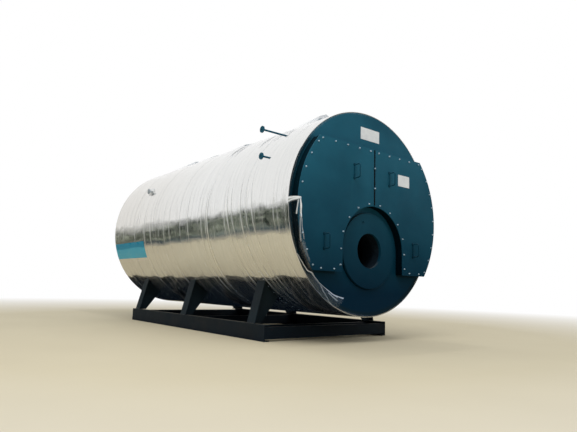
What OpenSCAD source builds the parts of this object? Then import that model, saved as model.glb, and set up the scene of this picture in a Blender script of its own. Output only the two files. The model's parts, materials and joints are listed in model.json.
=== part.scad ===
/* [Drum] */
// Height of the jacket's lowest line above the underside of the base
drum_clear = 393; // [300:1:500]
// Outside radius of the stainless jacket
jacket_r = 1635; // [1560:5:1720]
// Length of the jacket from front edge to rear edge
jacket_len = 6560; // [6200:20:7200]
// Thickness of the jacket sheet with its backing
band_t = 8; // [5:1:12]
// Number of jacket bands along the drum
band_count = 6; // [4:1:8]
// Width of the groove where one jacket band laps the next
groove_w = 14; // [8:1:24]
// Depth of the lap groove
groove_d = 2; // [1:0.5:3]
// Thickness of the insulation under the jacket
insulation_t = 85; // [60:5:100]
// Wall of the pressure shell
shell_t = 20; // [14:1:26]

/* [End plates] */
// Step from the jacket's surface in to the edge of the front and rear plates
plate_inset = 15; // [12:1:40]
// Thickness of the front and rear plates
end_plate_t = 20; // [12:1:30]

/* [Front smoke box] */
// Depth of the smoke box in front of the front plate
box_depth = 132; // [90:2:200]
// Wall thickness of the smoke box
box_wall = 10; // [6:1:16]
// How far the door edge stands out past the smoke box wall
door_lip = 11; // [4:1:20]
// Thickness of a smoke box door
door_t = 12; // [8:1:20]
// Distance from the front plate's edge in to the outer arc of the doors
door_margin = 43; // [30:1:80]
// Drop of the outer arc's centre below the drum's centre line
door_arc_drop = 34; // [0:2:50]
// Top edge of the doors above the drum's centre line
door_top = 1010; // [850:10:1150]
// Bottom edge of the doors below the drum's centre line
door_bottom = 962; // [850:2:1100]
// Gap between the two doors
seam_gap = 20; // [10:1:30]
// Width of the bolting flange inside the smoke box
flange_w = 80; // [60:2:110]
// Thickness of the bolting flange
flange_t = 12; // [8:1:20]
// Width of the upright behind the gap between the doors
mullion_w = 120; // [90:5:180]

/* [Door handles] */
// Height of a handle between its two legs
handle_h = 210; // [150:5:260]
// Reach of a handle from the door
handle_reach = 120; // [60:5:150]
// Diameter of the handle bar
handle_d = 20; // [14:1:28]
// Bend radius of the handle bar
handle_bend = 35; // [20:1:45]
// Shift of all four handles towards the left door's edge
handle_shift = 50; // [0:5:80]
// Sideways place of the upper handles
handle_up_x = 410; // [300:10:600]
// Height of the upper handles above the drum's centre line
handle_up_z = 582; // [450:2:700]
// Sideways place of the lower handles
handle_low_x = 1018; // [900:2:1150]
// Height of the lower handles below the drum's centre line
handle_low_z = 540; // [400:5:650]

/* [Burner opening] */
// Height of the burner's centre above the jacket's lowest line
burner_rise = 1030; // [980:5:1100]
// Radius of the arch that the doors leave round the burner
arch_r = 693; // [640:1:740]
// Radius of the round burner plate
burner_plate_r = 597; // [540:1:630]
// Thickness of the burner plate
burner_plate_t = 45; // [30:1:60]
// Edge chamfer of the burner plate
burner_chamfer = 5; // [2:1:8]
// Radius of the hole for the burner
burner_hole_r = 275; // [200:5:320]
// Radius of the hole in the small sight port
sight_r = 18; // [12:1:24]
// Length of the refractory throat behind the burner plate
throat_len = 420; // [300:10:500]
// Radius at the wide end of the throat
throat_end_r = 350; // [330:5:420]

/* [Furnace] */
// Inner radius of the furnace tube at its crests
furnace_r = 560; // [520:5:590]
// Depth of the corrugation
wave_d = 40; // [20:2:50]
// Length of one corrugation
wave_len = 200; // [160:10:260]
// Wall of the furnace tube
furnace_t = 16; // [12:1:22]
// Distance from the end of the furnace tube to the rear plate
furnace_gap = 1680; // [1500:10:1900]
// Plain length at each end of the furnace tube
furnace_plain = 220; // [120:10:260]
// Radius of the reversal chamber
chamber_r = 800; // [740:10:840]
// Length of the reversal chamber
chamber_len = 720; // [600:10:900]

/* [Base] */
// Height of the base beams
beam_h = 250; // [200:5:320]
// Flange width of the base beams
beam_flange = 100; // [70:5:130]
// Web thickness of the base beams
beam_web = 12; // [8:1:18]
// Flange thickness of the base beams
beam_ft = 16; // [10:1:22]
// Distance from the jacket's side in to the outer face of each beam
beam_inset = 255; // [150:5:400]
// Start of the beams behind the front plate
beam_start = 790; // [650:10:900]
// End of the beams in front of the rear plate
beam_end = 780; // [650:10:900]
// Height of the cross members
cross_h = 180; // [140:5:200]
// Flange width of the cross members
cross_w = 75; // [60:5:100]
// Wall thickness of the cross members
cross_t = 9; // [6:1:14]

/* [Legs] */
// Middle of the front legs behind the front plate
leg_start = 1166; // [1000:2:1300]
// Distance from the front legs to the middle legs
leg_gap_front = 2240; // [2000:10:2400]
// Middle of the rear legs in front of the rear plate
leg_end = 1019; // [900:1:1200]
// Width of the outer strip of a leg
strip_w = 205; // [150:5:250]
// Thickness of the leg plates
leg_t = 16; // [10:1:24]
// Width of a leg at its foot
foot_w = 195; // [140:5:260]
// Angle below the horizontal where the strip meets the jacket
leg_out_deg = 43; // [38:1:48]
// Angle below the horizontal where the web's inner edge meets the jacket
leg_in_deg = 58; // [54:1:64]

/* [Level nozzles] */
// Distance of the level nozzles behind the front plate
level_y = 715; // [600:5:850]
// Height of the upper level nozzle above the centre line
level_up_z = 1184; // [1100:2:1220]
// Height of the lower level nozzle above the centre line
level_low_z = 763; // [650:1:850]
// Distance from the jacket's side in to the flange faces of the level nozzles
level_face_in = 15; // [5:1:35]
// Outside radius of a level pipe
level_pipe_r = 15; // [12:0.5:20]
// Bore radius of a level pipe
level_bore_r = 10; // [8:0.5:11]
// Radius of a level flange
level_flange_r = 54; // [45:1:60]
// Thickness of a level flange
level_flange_t = 16; // [12:1:20]
// Radius of the bolt circle of a level flange
level_bolt_circle = 37.5; // [34:0.5:40]
// Radius of a bolt hole in a level flange
level_hole_r = 7; // [5:0.5:8]

/* [Crown fittings] */
// Height of the crown flanges above the jacket
crown_reach = 137; // [120:1:165]
// Distance of the steam outlet behind the front plate
steam_y = 3300; // [3100:10:3500]
// Bore radius of the steam outlet
steam_bore_r = 101; // [80:1:110]
// Distance of the first safety valve nozzle behind the front plate
safety_y = 2100; // [1900:10:2200]
// Distance between the two safety valve nozzles
safety_pitch = 520; // [400:10:600]
// Bore radius of the safety valve nozzles
safety_bore_r = 40; // [30:1:44]
// Distance of the manhole behind the front plate
manhole_y = 4600; // [4450:10:4800]
// Half width of the manhole opening
manhole_half = 140; // [120:2:150]
// Extra half length of the oval manhole
manhole_ext = 60; // [40:2:70]
// Distance of the front lifting eye behind the front plate
lug_front_y = 1150; // [1000:10:1300]
// Distance of the rear lifting eye in front of the rear plate
lug_rear_in = 810; // [700:10:1000]
// Thickness of a lifting eye
lug_t = 40; // [25:1:50]
// Radius of the hole in a lifting eye
lug_hole_r = 38; // [30:1:42]

/* [Side and bottom nozzles] */
// Distance of the side nozzle in front of the rear plate
side_rear_in = 1480; // [1300:10:1600]
// Height of the side nozzle above the centre line
side_z = 800; // [700:10:900]
// Reach of the side nozzle past the jacket
side_reach = 80; // [60:5:110]
// Distance of the front drain behind the front plate
drain_front_y = 2700; // [2600:10:2800]
// Distance of the rear drain in front of the rear plate
drain_rear_in = 710; // [600:10:850]
// Reach of a drain below the jacket
drain_reach = 150; // [110:5:200]
// Bore radius of a drain
drain_bore_r = 20; // [15:1:24]

/* [Rear smoke box] */
// Distance from the rear plate's edge in to the rear smoke box
rear_margin = 200; // [150:10:320]
// Depth of the rear smoke box
rear_box_depth = 300; // [220:10:360]
// Top of the rear smoke box above the centre line
rear_top = 1100; // [1000:10:1150]
// Gap between the rear access cover and the rear smoke box
rear_gap = 85; // [60:5:120]
// Width of the fixed middle panel of the rear smoke box
rear_panel_w = 960; // [900:10:1100]
// Height of the flue outlet above the centre line
flue_z = 470; // [420:5:520]
// Bore radius of the flue outlet
flue_bore_r = 325; // [280:5:350]
// Reach of the flue outlet behind the rear smoke box
flue_reach = 130; // [100:5:180]
// Radius of the flue outlet flange
flue_flange_r = 385; // [370:5:410]
// Radius of the bolt circle of the flue outlet
flue_bolt_circle = 358; // [352:1:362]
// Radius of a bolt hole in the flue flange
flue_hole_r = 9; // [7:0.5:11]

/* [Rear access] */
// Radius of the rear access neck
access_r = 280; // [240:5:320]
// Reach of the rear access neck behind the rear plate
access_reach = 110; // [80:5:150]
// Radius of the rear access cover
access_cover_r = 340; // [320:5:370]

/* [Plates] */
// Width of the bare sign plate on the front
sign_w = 445; // [300:5:500]
// Height of the bare sign plate
sign_h = 200; // [140:5:240]
// Middle of the sign plate from the centre line
sign_x = 47; // [0:1:80]
// Middle of the sign plate above the centre line
sign_z = 1292; // [1250:2:1340]
// Width of the bare data plate on the right door
data_w = 294; // [220:2:340]
// Height of the bare data plate
data_h = 192; // [140:2:220]
// Middle of the data plate from the centre line
data_x = 730; // [640:5:800]
// Middle of the data plate above the centre line
data_z = 607; // [500:1:700]
// Thickness of both plates
plate_t = 3; // [2:0.5:5]

/* [Film] */
// Thickness of the stretch film layer
film_t = 3; // [2:0.5:5]
// Angle above the horizontal where the loose flap starts
flap_up_deg = 3; // [1:1:12]
// Angle below the horizontal where the loose flap ends
flap_down_deg = 64; // [50:1:70]
// How far the loose flap hangs out in front
flap_out = 140; // [100:5:160]

/* [Hidden] */

// Fineness of round shapes, finer on the large ones
$fn = 96;
fine = 360;
large_r = 400;
function round_fn(r) = r > large_r ? fine : $fn;
// Clearance where a curved face seats on another
seat = 0.3;
// Clearance of the film over the jacket
film_gap = 0.6;
// Clearance round a pipe where it passes the jacket
pass = 5;
// Small overlap that makes a cut go clean through
cut = 1;

// Sizes that follow the drum
axis_z = jacket_r + drum_clear;
end_plate_r = jacket_r - plate_inset;
door_arc_r = end_plate_r - door_margin;
rear_box_r = end_plate_r - rear_margin;
beam_x = jacket_r - beam_inset;
beam_len = jacket_len - beam_start - beam_end;
level_face_x = jacket_r - level_face_in;
crown_top = jacket_r + crown_reach;
lug_rear_y = jacket_len - lug_rear_in;
side_y = jacket_len - side_rear_in;
drain_rear_y = jacket_len - drain_rear_in;
// Whole depth of the front, from the plate to the handle bar
front_reach = box_depth + door_t + handle_reach + handle_d / 2;
// Whole depth of the rear, from the rear plate to the flue flange
rear_reach = rear_box_depth + door_t + flue_reach;
// Face of the front plate, so that the origin lies in the middle
front_y = -(front_reach + jacket_len + rear_reach) / 2 + front_reach;
rear_y = front_y + jacket_len;
band_len = jacket_len / band_count;
band_in_r = jacket_r - band_t;
insulation_out_r = band_in_r - seat;
shell_r = band_in_r - insulation_t;
shell_in_r = shell_r - shell_t;
insulation_in_r = shell_r + seat;
shell_start = front_y + end_plate_t;
shell_len = jacket_len - 2 * end_plate_t;
box_out_r = door_arc_r - door_lip;
door_back_y = front_y - box_depth;
door_face_y = door_back_y - door_t;
burner_z = burner_rise - jacket_r;
leg_ys = [front_y + leg_start, front_y + leg_start + leg_gap_front, rear_y - leg_end];
furnace_start = front_y + end_plate_t;
wave_count = floor((jacket_len - 2 * end_plate_t - 2 * furnace_plain - furnace_gap) / wave_len);
furnace_len = 2 * furnace_plain + wave_count * wave_len;
furnace_end = furnace_start + furnace_len;
film_in_r = jacket_r + film_gap;
film_out_r = film_in_r + film_t;
rear_bottom = -burner_z - access_cover_r - rear_gap;
// How far every cut through the jacket reaches past it
past = 50;
clear_r = jacket_r + past;
// How far a nozzle reaches into the pressure shell
nozzle_root = 40;
handle_pad_r = 19;
handle_pad_t = 6;
handle_back_gap = 3;
// Place of the sight port on the burner plate, from the burner's centre
sight_at = [-150, 440];
// Depth inside the jacket's radius at which a leg's web starts, before the jacket trims it
leg_root = 100;
// Length of a leg's strip past the jacket's lower edge line
strip_over = 60;
crown_neck_wall = 12;
crown_flange_t = 24;
// Distances from a bore to its flange's edge and to its ring of bolt holes
steam_rim = 69;
steam_ring = 46.5;
safety_rim = 60;
safety_ring = 40;
drain_rim = 55;
drain_ring = 35;
steam_flange_r = steam_bore_r + steam_rim;
steam_circle_r = steam_bore_r + steam_ring;
steam_holes = 12;
steam_hole_r = 11;
safety_flange_r = safety_bore_r + safety_rim;
safety_circle_r = safety_bore_r + safety_ring;
safety_holes = 8;
safety_hole_r = 9;
// Step from the crown flanges down to the manhole's rim
manhole_drop = 40;
manhole_top = crown_top - manhole_drop;
manhole_cover_t = 18;
manhole_cover_lip = 6;
bridge_w = 36;
bridge_h = 22;
lug_foot = 300;
lug_head_r = 90;
lug_shoulder = 100;
// Height of a lifting eye's head and of its hole above the centre line
lug_head_z = crown_top;
lug_hole_up = 18;
lug_hole_z = lug_head_z + lug_hole_up;
drain_wall = 6;
drain_flange_r = drain_bore_r + drain_rim;
drain_flange_t = 18;
drain_circle_r = drain_bore_r + drain_ring;
drain_hole_r = 9;
flue_wall = 8;
flue_neck_r = flue_bore_r + flue_wall;
flue_holes = 12;
access_flange_t = 16;
access_cover_t = 18;
// Small peephole tube on the rear access cover
peep_out_r = 45;
peep_in_r = 25;
peep_len = 60;
// Room that the wrapped film leaves round a leg's head
film_slot = 12;
film_slot_out = 60;
film_slot_low = 120;
// How far the loose flap leans in towards the drum's axis
flap_lean = 24;
painted = "#2a6470";
steel = "#2e3338";
bright = "#c9ccce";

// Places a flat outline, drawn in x and z about the drum's axis, from y0 with thickness t
module upright(y0, t) {
    translate([0, y0 + t, axis_z])
        rotate([90, 0, 0])
            linear_extrude(t) children();
}

// Round bar along y, about a point given from the drum's axis
module bar_y(y0, len, r, x = 0, z = 0) {
    translate([x, y0, axis_z + z])
        rotate([-90, 0, 0])
            cylinder(h = len, r = r, $fn = round_fn(r));
}

// Tube along y about the drum's axis
module tube_y(y0, len, r_out, r_in, x = 0, z = 0) {
    difference() {
        bar_y(y0, len, r_out, x, z);
        bar_y(y0 - cut, len + 2 * cut, r_in, x, z);
    }
}

// Revolves a profile of [radius, distance] about a line along y
module revolved_y(y0, x = 0, z = 0) {
    translate([x, y0, axis_z + z])
        rotate([-90, 0, 0])
            rotate_extrude($fn = fine) children();
}

// Base

// Channel section with its web at x = 0 and its flanges towards +x
module channel_profile(h, w, web, ft) {
    taper = ft / 4;
    polygon([[0, 0], [w, 0], [w, ft - taper], [web, ft + taper],
        [web, h - ft - taper], [w, h - ft + taper], [w, h], [0, h]]);
}

module base_beam(side) {
    color(steel)
        mirror([side > 0 ? 1 : 0, 0, 0])
            translate([-beam_x, front_y + beam_start + beam_len, 0])
                rotate([90, 0, 0])
                    linear_extrude(beam_len)
                        channel_profile(beam_h, beam_flange, beam_web, beam_ft);
}
module base_beam_left() { base_beam(-1); }
module base_beam_right() { base_beam(1); }

// One channel across the base, between the webs of the two beams
module cross_member(y0) {
    half = beam_x - beam_web;
    translate([-half, y0, (beam_h - cross_h) / 2])
        rotate([90, 0, 90])
            linear_extrude(2 * half)
                channel_profile(cross_h, cross_w, cross_t, cross_t);
}

module cross_members() {
    inset = 10;
    color(steel) {
        cross_member(front_y + beam_start + inset);
        for (y = leg_ys) cross_member(y - cross_t / 2);
        cross_member(front_y + beam_start + beam_len - inset - cross_w);
    }
}

// Legs

// Point on the left of the jacket, deg below the horizontal and out from its surface
function jacket_point(deg, out) = [-(jacket_r + out) * cos(deg), -(jacket_r + out) * sin(deg)];

// Web outline of a left leg, in x and z about the drum's axis
module leg_web_outline() {
    foot_z = beam_h - axis_z;
    foot_out = -beam_x + leg_t / 2;
    polygon([[foot_out, foot_z], [foot_out + foot_w, foot_z],
        jacket_point(leg_in_deg, 0), jacket_point(leg_in_deg, -leg_root),
        jacket_point(leg_out_deg, -leg_root), jacket_point(leg_out_deg, 0)]);
}

// Outer strip of a left leg, seen along the drum
module leg_strip_outline() {
    foot = [-beam_x + leg_t / 2, beam_h - axis_z];
    top = jacket_point(leg_out_deg, 0);
    lean = (top[0] - foot[0]) / (top[1] - foot[1]);
    end = top + [lean * strip_over, strip_over];
    polygon([foot, foot + [leg_t, 0], end + [leg_t, 0], end]);
}

module leg(y, side) {
    color(steel)
        mirror([side > 0 ? 1 : 0, 0, 0])
            difference() {
                union() {
                    upright(y - leg_t / 2, leg_t) leg_web_outline();
                    upright(y - strip_w / 2, strip_w) leg_strip_outline();
                }
                bar_y(y - strip_w, 2 * strip_w, jacket_r + seat);
            }
}
module leg_front_left() { leg(leg_ys[0], -1); }
module leg_front_right() { leg(leg_ys[0], 1); }
module leg_middle_left() { leg(leg_ys[1], -1); }
module leg_middle_right() { leg(leg_ys[1], 1); }
module leg_rear_left() { leg(leg_ys[2], -1); }
module leg_rear_right() { leg(leg_ys[2], 1); }

// Drum

module pressure_shell() {
    color(steel)
        difference() {
            tube_y(shell_start, shell_len, shell_r, shell_in_r);
            pipe_holes(seat);
        }
}

module insulation() {
    color("#b9a878")
        difference() {
            tube_y(shell_start, shell_len, insulation_out_r, insulation_in_r);
            fitting_holes(pass);
        }
}

// Round and oval holes that the nozzles and the manhole need, grown by gap
module pipe_holes(gap) {
    for (side = [-1, 1]) {
        for (z = [level_up_z, level_low_z])
            side_bar(side, level_y, z, 0, clear_r, level_pipe_r + gap);
    }
    side_bar(-1, side_y, side_z, 0, clear_r, level_pipe_r + gap);
    crown_bar(steam_y, 0, clear_r, steam_bore_r + crown_neck_wall + gap);
    for (i = [0, 1])
        crown_bar(safety_y + i * safety_pitch, 0, clear_r, safety_bore_r + crown_neck_wall + gap);
    translate([0, 0, axis_z])
        linear_extrude(clear_r)
            manhole_outline(crown_neck_wall + gap);
    for (y = [drain_front_y, drain_rear_y])
        crown_bar(y, -clear_r, 0, drain_bore_r + drain_wall + gap);
}

// All the holes through jacket, insulation and film, with the slots of the lifting eyes
module fitting_holes(gap) {
    pipe_holes(gap);
    for (y = [lug_front_y, lug_rear_y])
        translate([-lug_t / 2 - gap, front_y + y - lug_foot / 2 - gap, axis_z])
            cube([lug_t + 2 * gap, lug_foot + 2 * gap, clear_r]);
}

// Round bar that points sideways from x0 to x1, measured from the middle
module side_bar(side, y, z, x0, x1, r) {
    translate([side * x0, front_y + y, axis_z + z])
        rotate([0, side * 90, 0])
            cylinder(h = x1 - x0, r = r);
}

// Upright round bar from z0 to z1, measured from the drum's axis
module crown_bar(y, z0, z1, r) {
    translate([0, front_y + y, axis_z + z0])
        cylinder(h = z1 - z0, r = r);
}

module front_plate() {
    color(painted)
        difference() {
            bar_y(front_y, end_plate_t, end_plate_r);
            bar_y(front_y - cut, end_plate_t + 2 * cut, furnace_r, 0, burner_z);
        }
}

module rear_plate() {
    color(painted)
        difference() {
            bar_y(rear_y - end_plate_t, end_plate_t, end_plate_r);
            bar_y(rear_y - end_plate_t - cut, end_plate_t + 2 * cut, access_r - box_wall, 0, burner_z);
        }
}

// One band of the jacket, with a lap groove at its rear edge
module jacket_band(i) {
    y0 = front_y + i * band_len;
    color(bright)
        difference() {
            revolved_y(y0)
                polygon([[band_in_r, 0], [jacket_r, 0], [jacket_r, band_len - groove_w],
                    [jacket_r - groove_d, band_len - groove_w + groove_d],
                    [jacket_r - groove_d, band_len], [band_in_r, band_len]]);
            fitting_holes(pass);
        }
}
module jacket_band_1() { jacket_band(0); }
module jacket_band_2() { jacket_band(1); }
module jacket_band_3() { jacket_band(2); }
module jacket_band_4() { jacket_band(3); }
module jacket_band_5() { jacket_band(4); }
module jacket_band_6() { jacket_band(5); }

// Front smoke box and doors

// Arch that stays open round the burner, grown by g
module arch_outline(g) {
    translate([0, burner_z]) circle(r = arch_r + g, $fn = fine);
    translate([-arch_r - g, -jacket_r]) square([2 * (arch_r + g), jacket_r + burner_z]);
}

// Outline of the smoke box doors, drawn in by s all round
module box_outline(s) {
    difference() {
        intersection() {
            translate([0, -door_arc_drop]) circle(r = door_arc_r - s, $fn = fine);
            translate([-door_arc_r, -door_bottom + s])
                square([2 * door_arc_r, door_top + door_bottom - 2 * s]);
        }
        arch_outline(s);
    }
}

module smoke_box() {
    mullion_z = burner_z + arch_r + door_lip + box_wall / 2;
    color(painted) {
        upright(door_back_y, box_depth)
            difference() {
                box_outline(door_lip);
                box_outline(door_lip + box_wall);
            }
        upright(door_back_y, flange_t) {
            difference() {
                box_outline(door_lip + box_wall / 2);
                box_outline(flange_w);
            }
            translate([-mullion_w / 2, mullion_z])
                square([mullion_w, door_top - door_lip - box_wall / 2 - mullion_z]);
        }
    }
}

module smoke_door(side) {
    color(painted)
        upright(door_face_y, door_t)
            intersection() {
                box_outline(0);
                translate([side > 0 ? seam_gap / 2 : -door_arc_r - seam_gap / 2, -door_bottom])
                    square([door_arc_r, door_top + door_bottom]);
            }
}
module smoke_door_left() { smoke_door(-1); }
module smoke_door_right() { smoke_door(1); }

// Closed bar handle that stands on the door, with one side along it, centred on x and z
module bar_handle(x, z) {
    r = handle_d / 2;
    leg = handle_reach - handle_bend;
    half = handle_h / 2;
    translate([x, door_face_y, axis_z + z]) {
        for (s = [-1, 1]) {
            translate([0, 0, s * half])
                rotate([90, 0, 0]) {
                    cylinder(h = leg, r = r);
                    cylinder(h = handle_pad_t, r = handle_pad_r);
                }
            translate([0, -leg, s * (half - handle_bend)])
                rotate([0, -90, 0])
                    mirror([s > 0 ? 0 : 1, 0, 0])
                        rotate([0, 0, -90])
                            rotate_extrude(angle = 90)
                                translate([handle_bend, 0]) circle(r = r);
        }
        translate([0, -handle_reach, -half + handle_bend])
            cylinder(h = handle_h - 2 * handle_bend, r = r);
        translate([0, -r - handle_back_gap, -half])
            cylinder(h = handle_h, r = r);
    }
}

module door_handles(side) {
    color(painted) {
        bar_handle(side * handle_up_x - handle_shift, handle_up_z);
        bar_handle(side * handle_low_x - handle_shift, -handle_low_z);
    }
}
module door_handles_left() { door_handles(-1); }
module door_handles_right() { door_handles(1); }

// Burner opening and furnace

module burner_plate() {
    color(painted)
        difference() {
            revolved_y(front_y - burner_plate_t, 0, burner_z)
                polygon([[burner_hole_r, 0], [burner_plate_r - burner_chamfer, 0],
                    [burner_plate_r, burner_chamfer], [burner_plate_r, burner_plate_t],
                    [burner_hole_r, burner_plate_t]]);
            bar_y(front_y - burner_plate_t - cut, burner_plate_t / 2, sight_r,
                sight_at[0], burner_z + sight_at[1]);
        }
}

module burner_throat() {
    throat_out_r = furnace_r - seat;
    color("#8d8574")
        revolved_y(front_y, 0, burner_z)
            polygon([[burner_hole_r, 0], [throat_out_r, 0], [throat_out_r, throat_len],
                [throat_end_r, throat_len], [burner_hole_r, throat_len / 3]]);
}

// Radius of the furnace wall's inner face at a share u of one corrugation
function wave(u) = furnace_r + wave_d * (1 - cos(360 * u)) / 2;

module furnace_tube() {
    steps = 8;
    count = wave_count * steps;
    inner = [for (i = [0 : count]) [wave(i / steps), furnace_plain + i * wave_len / steps]];
    outer = [for (i = [count : -1 : 0]) [wave(i / steps) + furnace_t, furnace_plain + i * wave_len / steps]];
    color(steel)
        revolved_y(furnace_start, 0, burner_z)
            polygon(concat([[furnace_r, 0]], inner, [[furnace_r, furnace_len],
                [furnace_r + furnace_t, furnace_len]], outer, [[furnace_r + furnace_t, 0]]));
}

// Closed drum behind the furnace, with an access tube to the rear plate
module reversal_chamber() {
    tube_len = rear_y - end_plate_t - furnace_end;
    tube_r = access_r - box_wall;
    color(steel)
        revolved_y(furnace_end, 0, burner_z)
            polygon([[furnace_r, 0], [chamber_r, 0], [chamber_r, chamber_len],
                [tube_r + furnace_t, chamber_len], [tube_r + furnace_t, tube_len], [tube_r, tube_len],
                [tube_r, chamber_len - furnace_t], [chamber_r - furnace_t, chamber_len - furnace_t],
                [chamber_r - furnace_t, furnace_t], [furnace_r, furnace_t]]);
}

// Nozzles

// Flanged pipe that points sideways, from inside the shell to face_x
module side_nozzle_at(side, y, z, face_x) {
    inner_x = sqrt(shell_in_r * shell_in_r - z * z) - nozzle_root;
    difference() {
        union() {
            side_bar(side, y, z, inner_x, face_x, level_pipe_r);
            side_bar(side, y, z, face_x - level_flange_t, face_x, level_flange_r);
        }
        side_bar(side, y, z, inner_x - cut, face_x + cut, level_bore_r);
        for (a = [45 : 90 : 315])
            translate([0, level_bolt_circle * cos(a), level_bolt_circle * sin(a)])
                side_bar(side, y, z, face_x - level_flange_t - cut, face_x + cut, level_hole_r);
    }
}

module level_nozzles(side) {
    color(painted)
        for (z = [level_up_z, level_low_z])
            side_nozzle_at(side, level_y, z, level_face_x);
}
module level_nozzles_left() { level_nozzles(-1); }
module level_nozzles_right() { level_nozzles(1); }

module side_nozzle() {
    color(painted)
        side_nozzle_at(-1, side_y, side_z, sqrt(jacket_r * jacket_r - side_z * side_z) + side_reach);
}

module drain_nozzles() {
    end_z = -jacket_r - drain_reach;
    root_z = nozzle_root - shell_in_r;
    color(painted)
        for (y = [drain_front_y, drain_rear_y])
            difference() {
                union() {
                    crown_bar(y, end_z, root_z, drain_bore_r + drain_wall);
                    crown_bar(y, end_z, end_z + drain_flange_t, drain_flange_r);
                }
                crown_bar(y, end_z - cut, root_z + cut, drain_bore_r);
                for (a = [45 : 90 : 315])
                    translate([drain_circle_r * cos(a), drain_circle_r * sin(a), 0])
                        crown_bar(y, end_z - cut, end_z + drain_flange_t + cut, drain_hole_r);
            }
}

// Crown fittings

// Flanged neck on the crown, with a ring of holes in its flange
module crown_nozzle(y, bore_r, flange_r, circle_r, holes, hole_r) {
    root_z = shell_in_r - nozzle_root;
    difference() {
        union() {
            crown_bar(y, root_z, crown_top, bore_r + crown_neck_wall);
            crown_bar(y, crown_top - crown_flange_t, crown_top, flange_r);
        }
        crown_bar(y, root_z - cut, crown_top + cut, bore_r);
        for (i = [0 : holes - 1])
            translate([circle_r * cos((i + 0.5) * 360 / holes), circle_r * sin((i + 0.5) * 360 / holes), 0])
                crown_bar(y, crown_top - crown_flange_t - cut, crown_top + cut, hole_r);
    }
}

module steam_outlet() {
    color(painted)
        crown_nozzle(steam_y, steam_bore_r, steam_flange_r, steam_circle_r, steam_holes, steam_hole_r);
}

module safety_nozzles() {
    color(painted)
        for (i = [0, 1])
            crown_nozzle(safety_y + i * safety_pitch, safety_bore_r, safety_flange_r, safety_circle_r,
                safety_holes, safety_hole_r);
}

// Oval outline of the manhole, grown by g, in x and y
module manhole_outline(g) {
    for (s = [-1, 1])
        translate([0, front_y + manhole_y + s * manhole_ext]) circle(r = manhole_half + g);
    translate([-manhole_half - g, front_y + manhole_y - manhole_ext])
        square([2 * (manhole_half + g), 2 * manhole_ext]);
}

module manhole_neck() {
    low = shell_in_r - nozzle_root;
    color(painted)
        difference() {
            translate([0, 0, axis_z + low])
                linear_extrude(manhole_top - low) manhole_outline(crown_neck_wall);
            translate([0, 0, axis_z + low - cut])
                linear_extrude(manhole_top - low + 2 * cut) manhole_outline(0);
        }
}

// Oval cover on the neck, held by two bridges
module manhole_cover() {
    color(painted) {
        translate([0, 0, axis_z + manhole_top])
            linear_extrude(manhole_cover_t) manhole_outline(crown_neck_wall + manhole_cover_lip);
        for (s = [-1, 1])
            translate([-manhole_half, front_y + manhole_y + s * manhole_ext - bridge_w / 2,
                    axis_z + manhole_top + manhole_cover_t])
                cube([2 * manhole_half, bridge_w, bridge_h]);
    }
}

// Lifting eye plate that stands lengthwise on the shell
module lifting_eye(y) {
    foot = lug_foot / 2;
    low = sqrt(shell_r * shell_r - lug_t * lug_t / 4) + seat;
    difference() {
        translate([-lug_t / 2, front_y + y, axis_z])
            rotate([90, 0, 90])
                linear_extrude(lug_t) {
                    polygon([[-foot, low], [foot, low], [foot, low + lug_shoulder], [lug_head_r, lug_head_z],
                        [-lug_head_r, lug_head_z], [-foot, low + lug_shoulder]]);
                    translate([0, lug_head_z]) circle(r = lug_head_r);
                }
        translate([-lug_t, front_y + y, axis_z + lug_hole_z])
            rotate([0, 90, 0]) cylinder(h = 2 * lug_t, r = lug_hole_r);
        bar_y(front_y + y - lug_foot, 2 * lug_foot, shell_r + seat);
    }
}

module lifting_eyes() {
    color(painted) {
        lifting_eye(lug_front_y);
        lifting_eye(lug_rear_y);
    }
}

// Rear smoke box

// Outline of the rear smoke box, drawn in by s all round
module rear_outline(s) {
    intersection() {
        circle(r = rear_box_r - s, $fn = fine);
        translate([-rear_box_r, -rear_bottom + s])
            square([2 * rear_box_r, rear_top + rear_bottom - 2 * s]);
    }
}

module rear_smoke_box() {
    frame_y = rear_y + rear_box_depth - flange_t;
    color(painted) {
        upright(rear_y, rear_box_depth)
            difference() {
                rear_outline(door_lip);
                rear_outline(door_lip + box_wall);
            }
        upright(frame_y, flange_t) {
            difference() {
                rear_outline(door_lip + box_wall / 2);
                rear_outline(flange_w);
            }
            for (s = [-1, 1])
                translate([s * rear_panel_w / 2 - mullion_w / 2, -rear_bottom + door_lip + box_wall / 2])
                    square([mullion_w, rear_top + rear_bottom - 2 * door_lip - box_wall]);
        }
    }
}

module rear_door(side) {
    color(painted)
        upright(rear_y + rear_box_depth, door_t)
            intersection() {
                rear_outline(0);
                translate([side > 0 ? rear_panel_w / 2 + seam_gap / 2
                    : -rear_box_r - rear_panel_w / 2 - seam_gap / 2, -rear_bottom])
                    square([rear_box_r, rear_top + rear_bottom]);
            }
}
module rear_door_left() { rear_door(-1); }
module rear_door_right() { rear_door(1); }

// Fixed middle panel of the rear smoke box, with the hole for the flue neck
module rear_panel() {
    color(painted)
        upright(rear_y + rear_box_depth, door_t)
            difference() {
                intersection() {
                    rear_outline(0);
                    translate([-rear_panel_w / 2 + seam_gap / 2, -rear_bottom])
                        square([rear_panel_w - seam_gap, rear_top + rear_bottom]);
                }
                translate([0, flue_z]) circle(r = flue_neck_r + seat, $fn = fine);
            }
}

module flue_neck() {
    color(painted)
        tube_y(rear_y + rear_box_depth, door_t + flue_reach, flue_neck_r, flue_bore_r, 0, flue_z);
}

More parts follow.
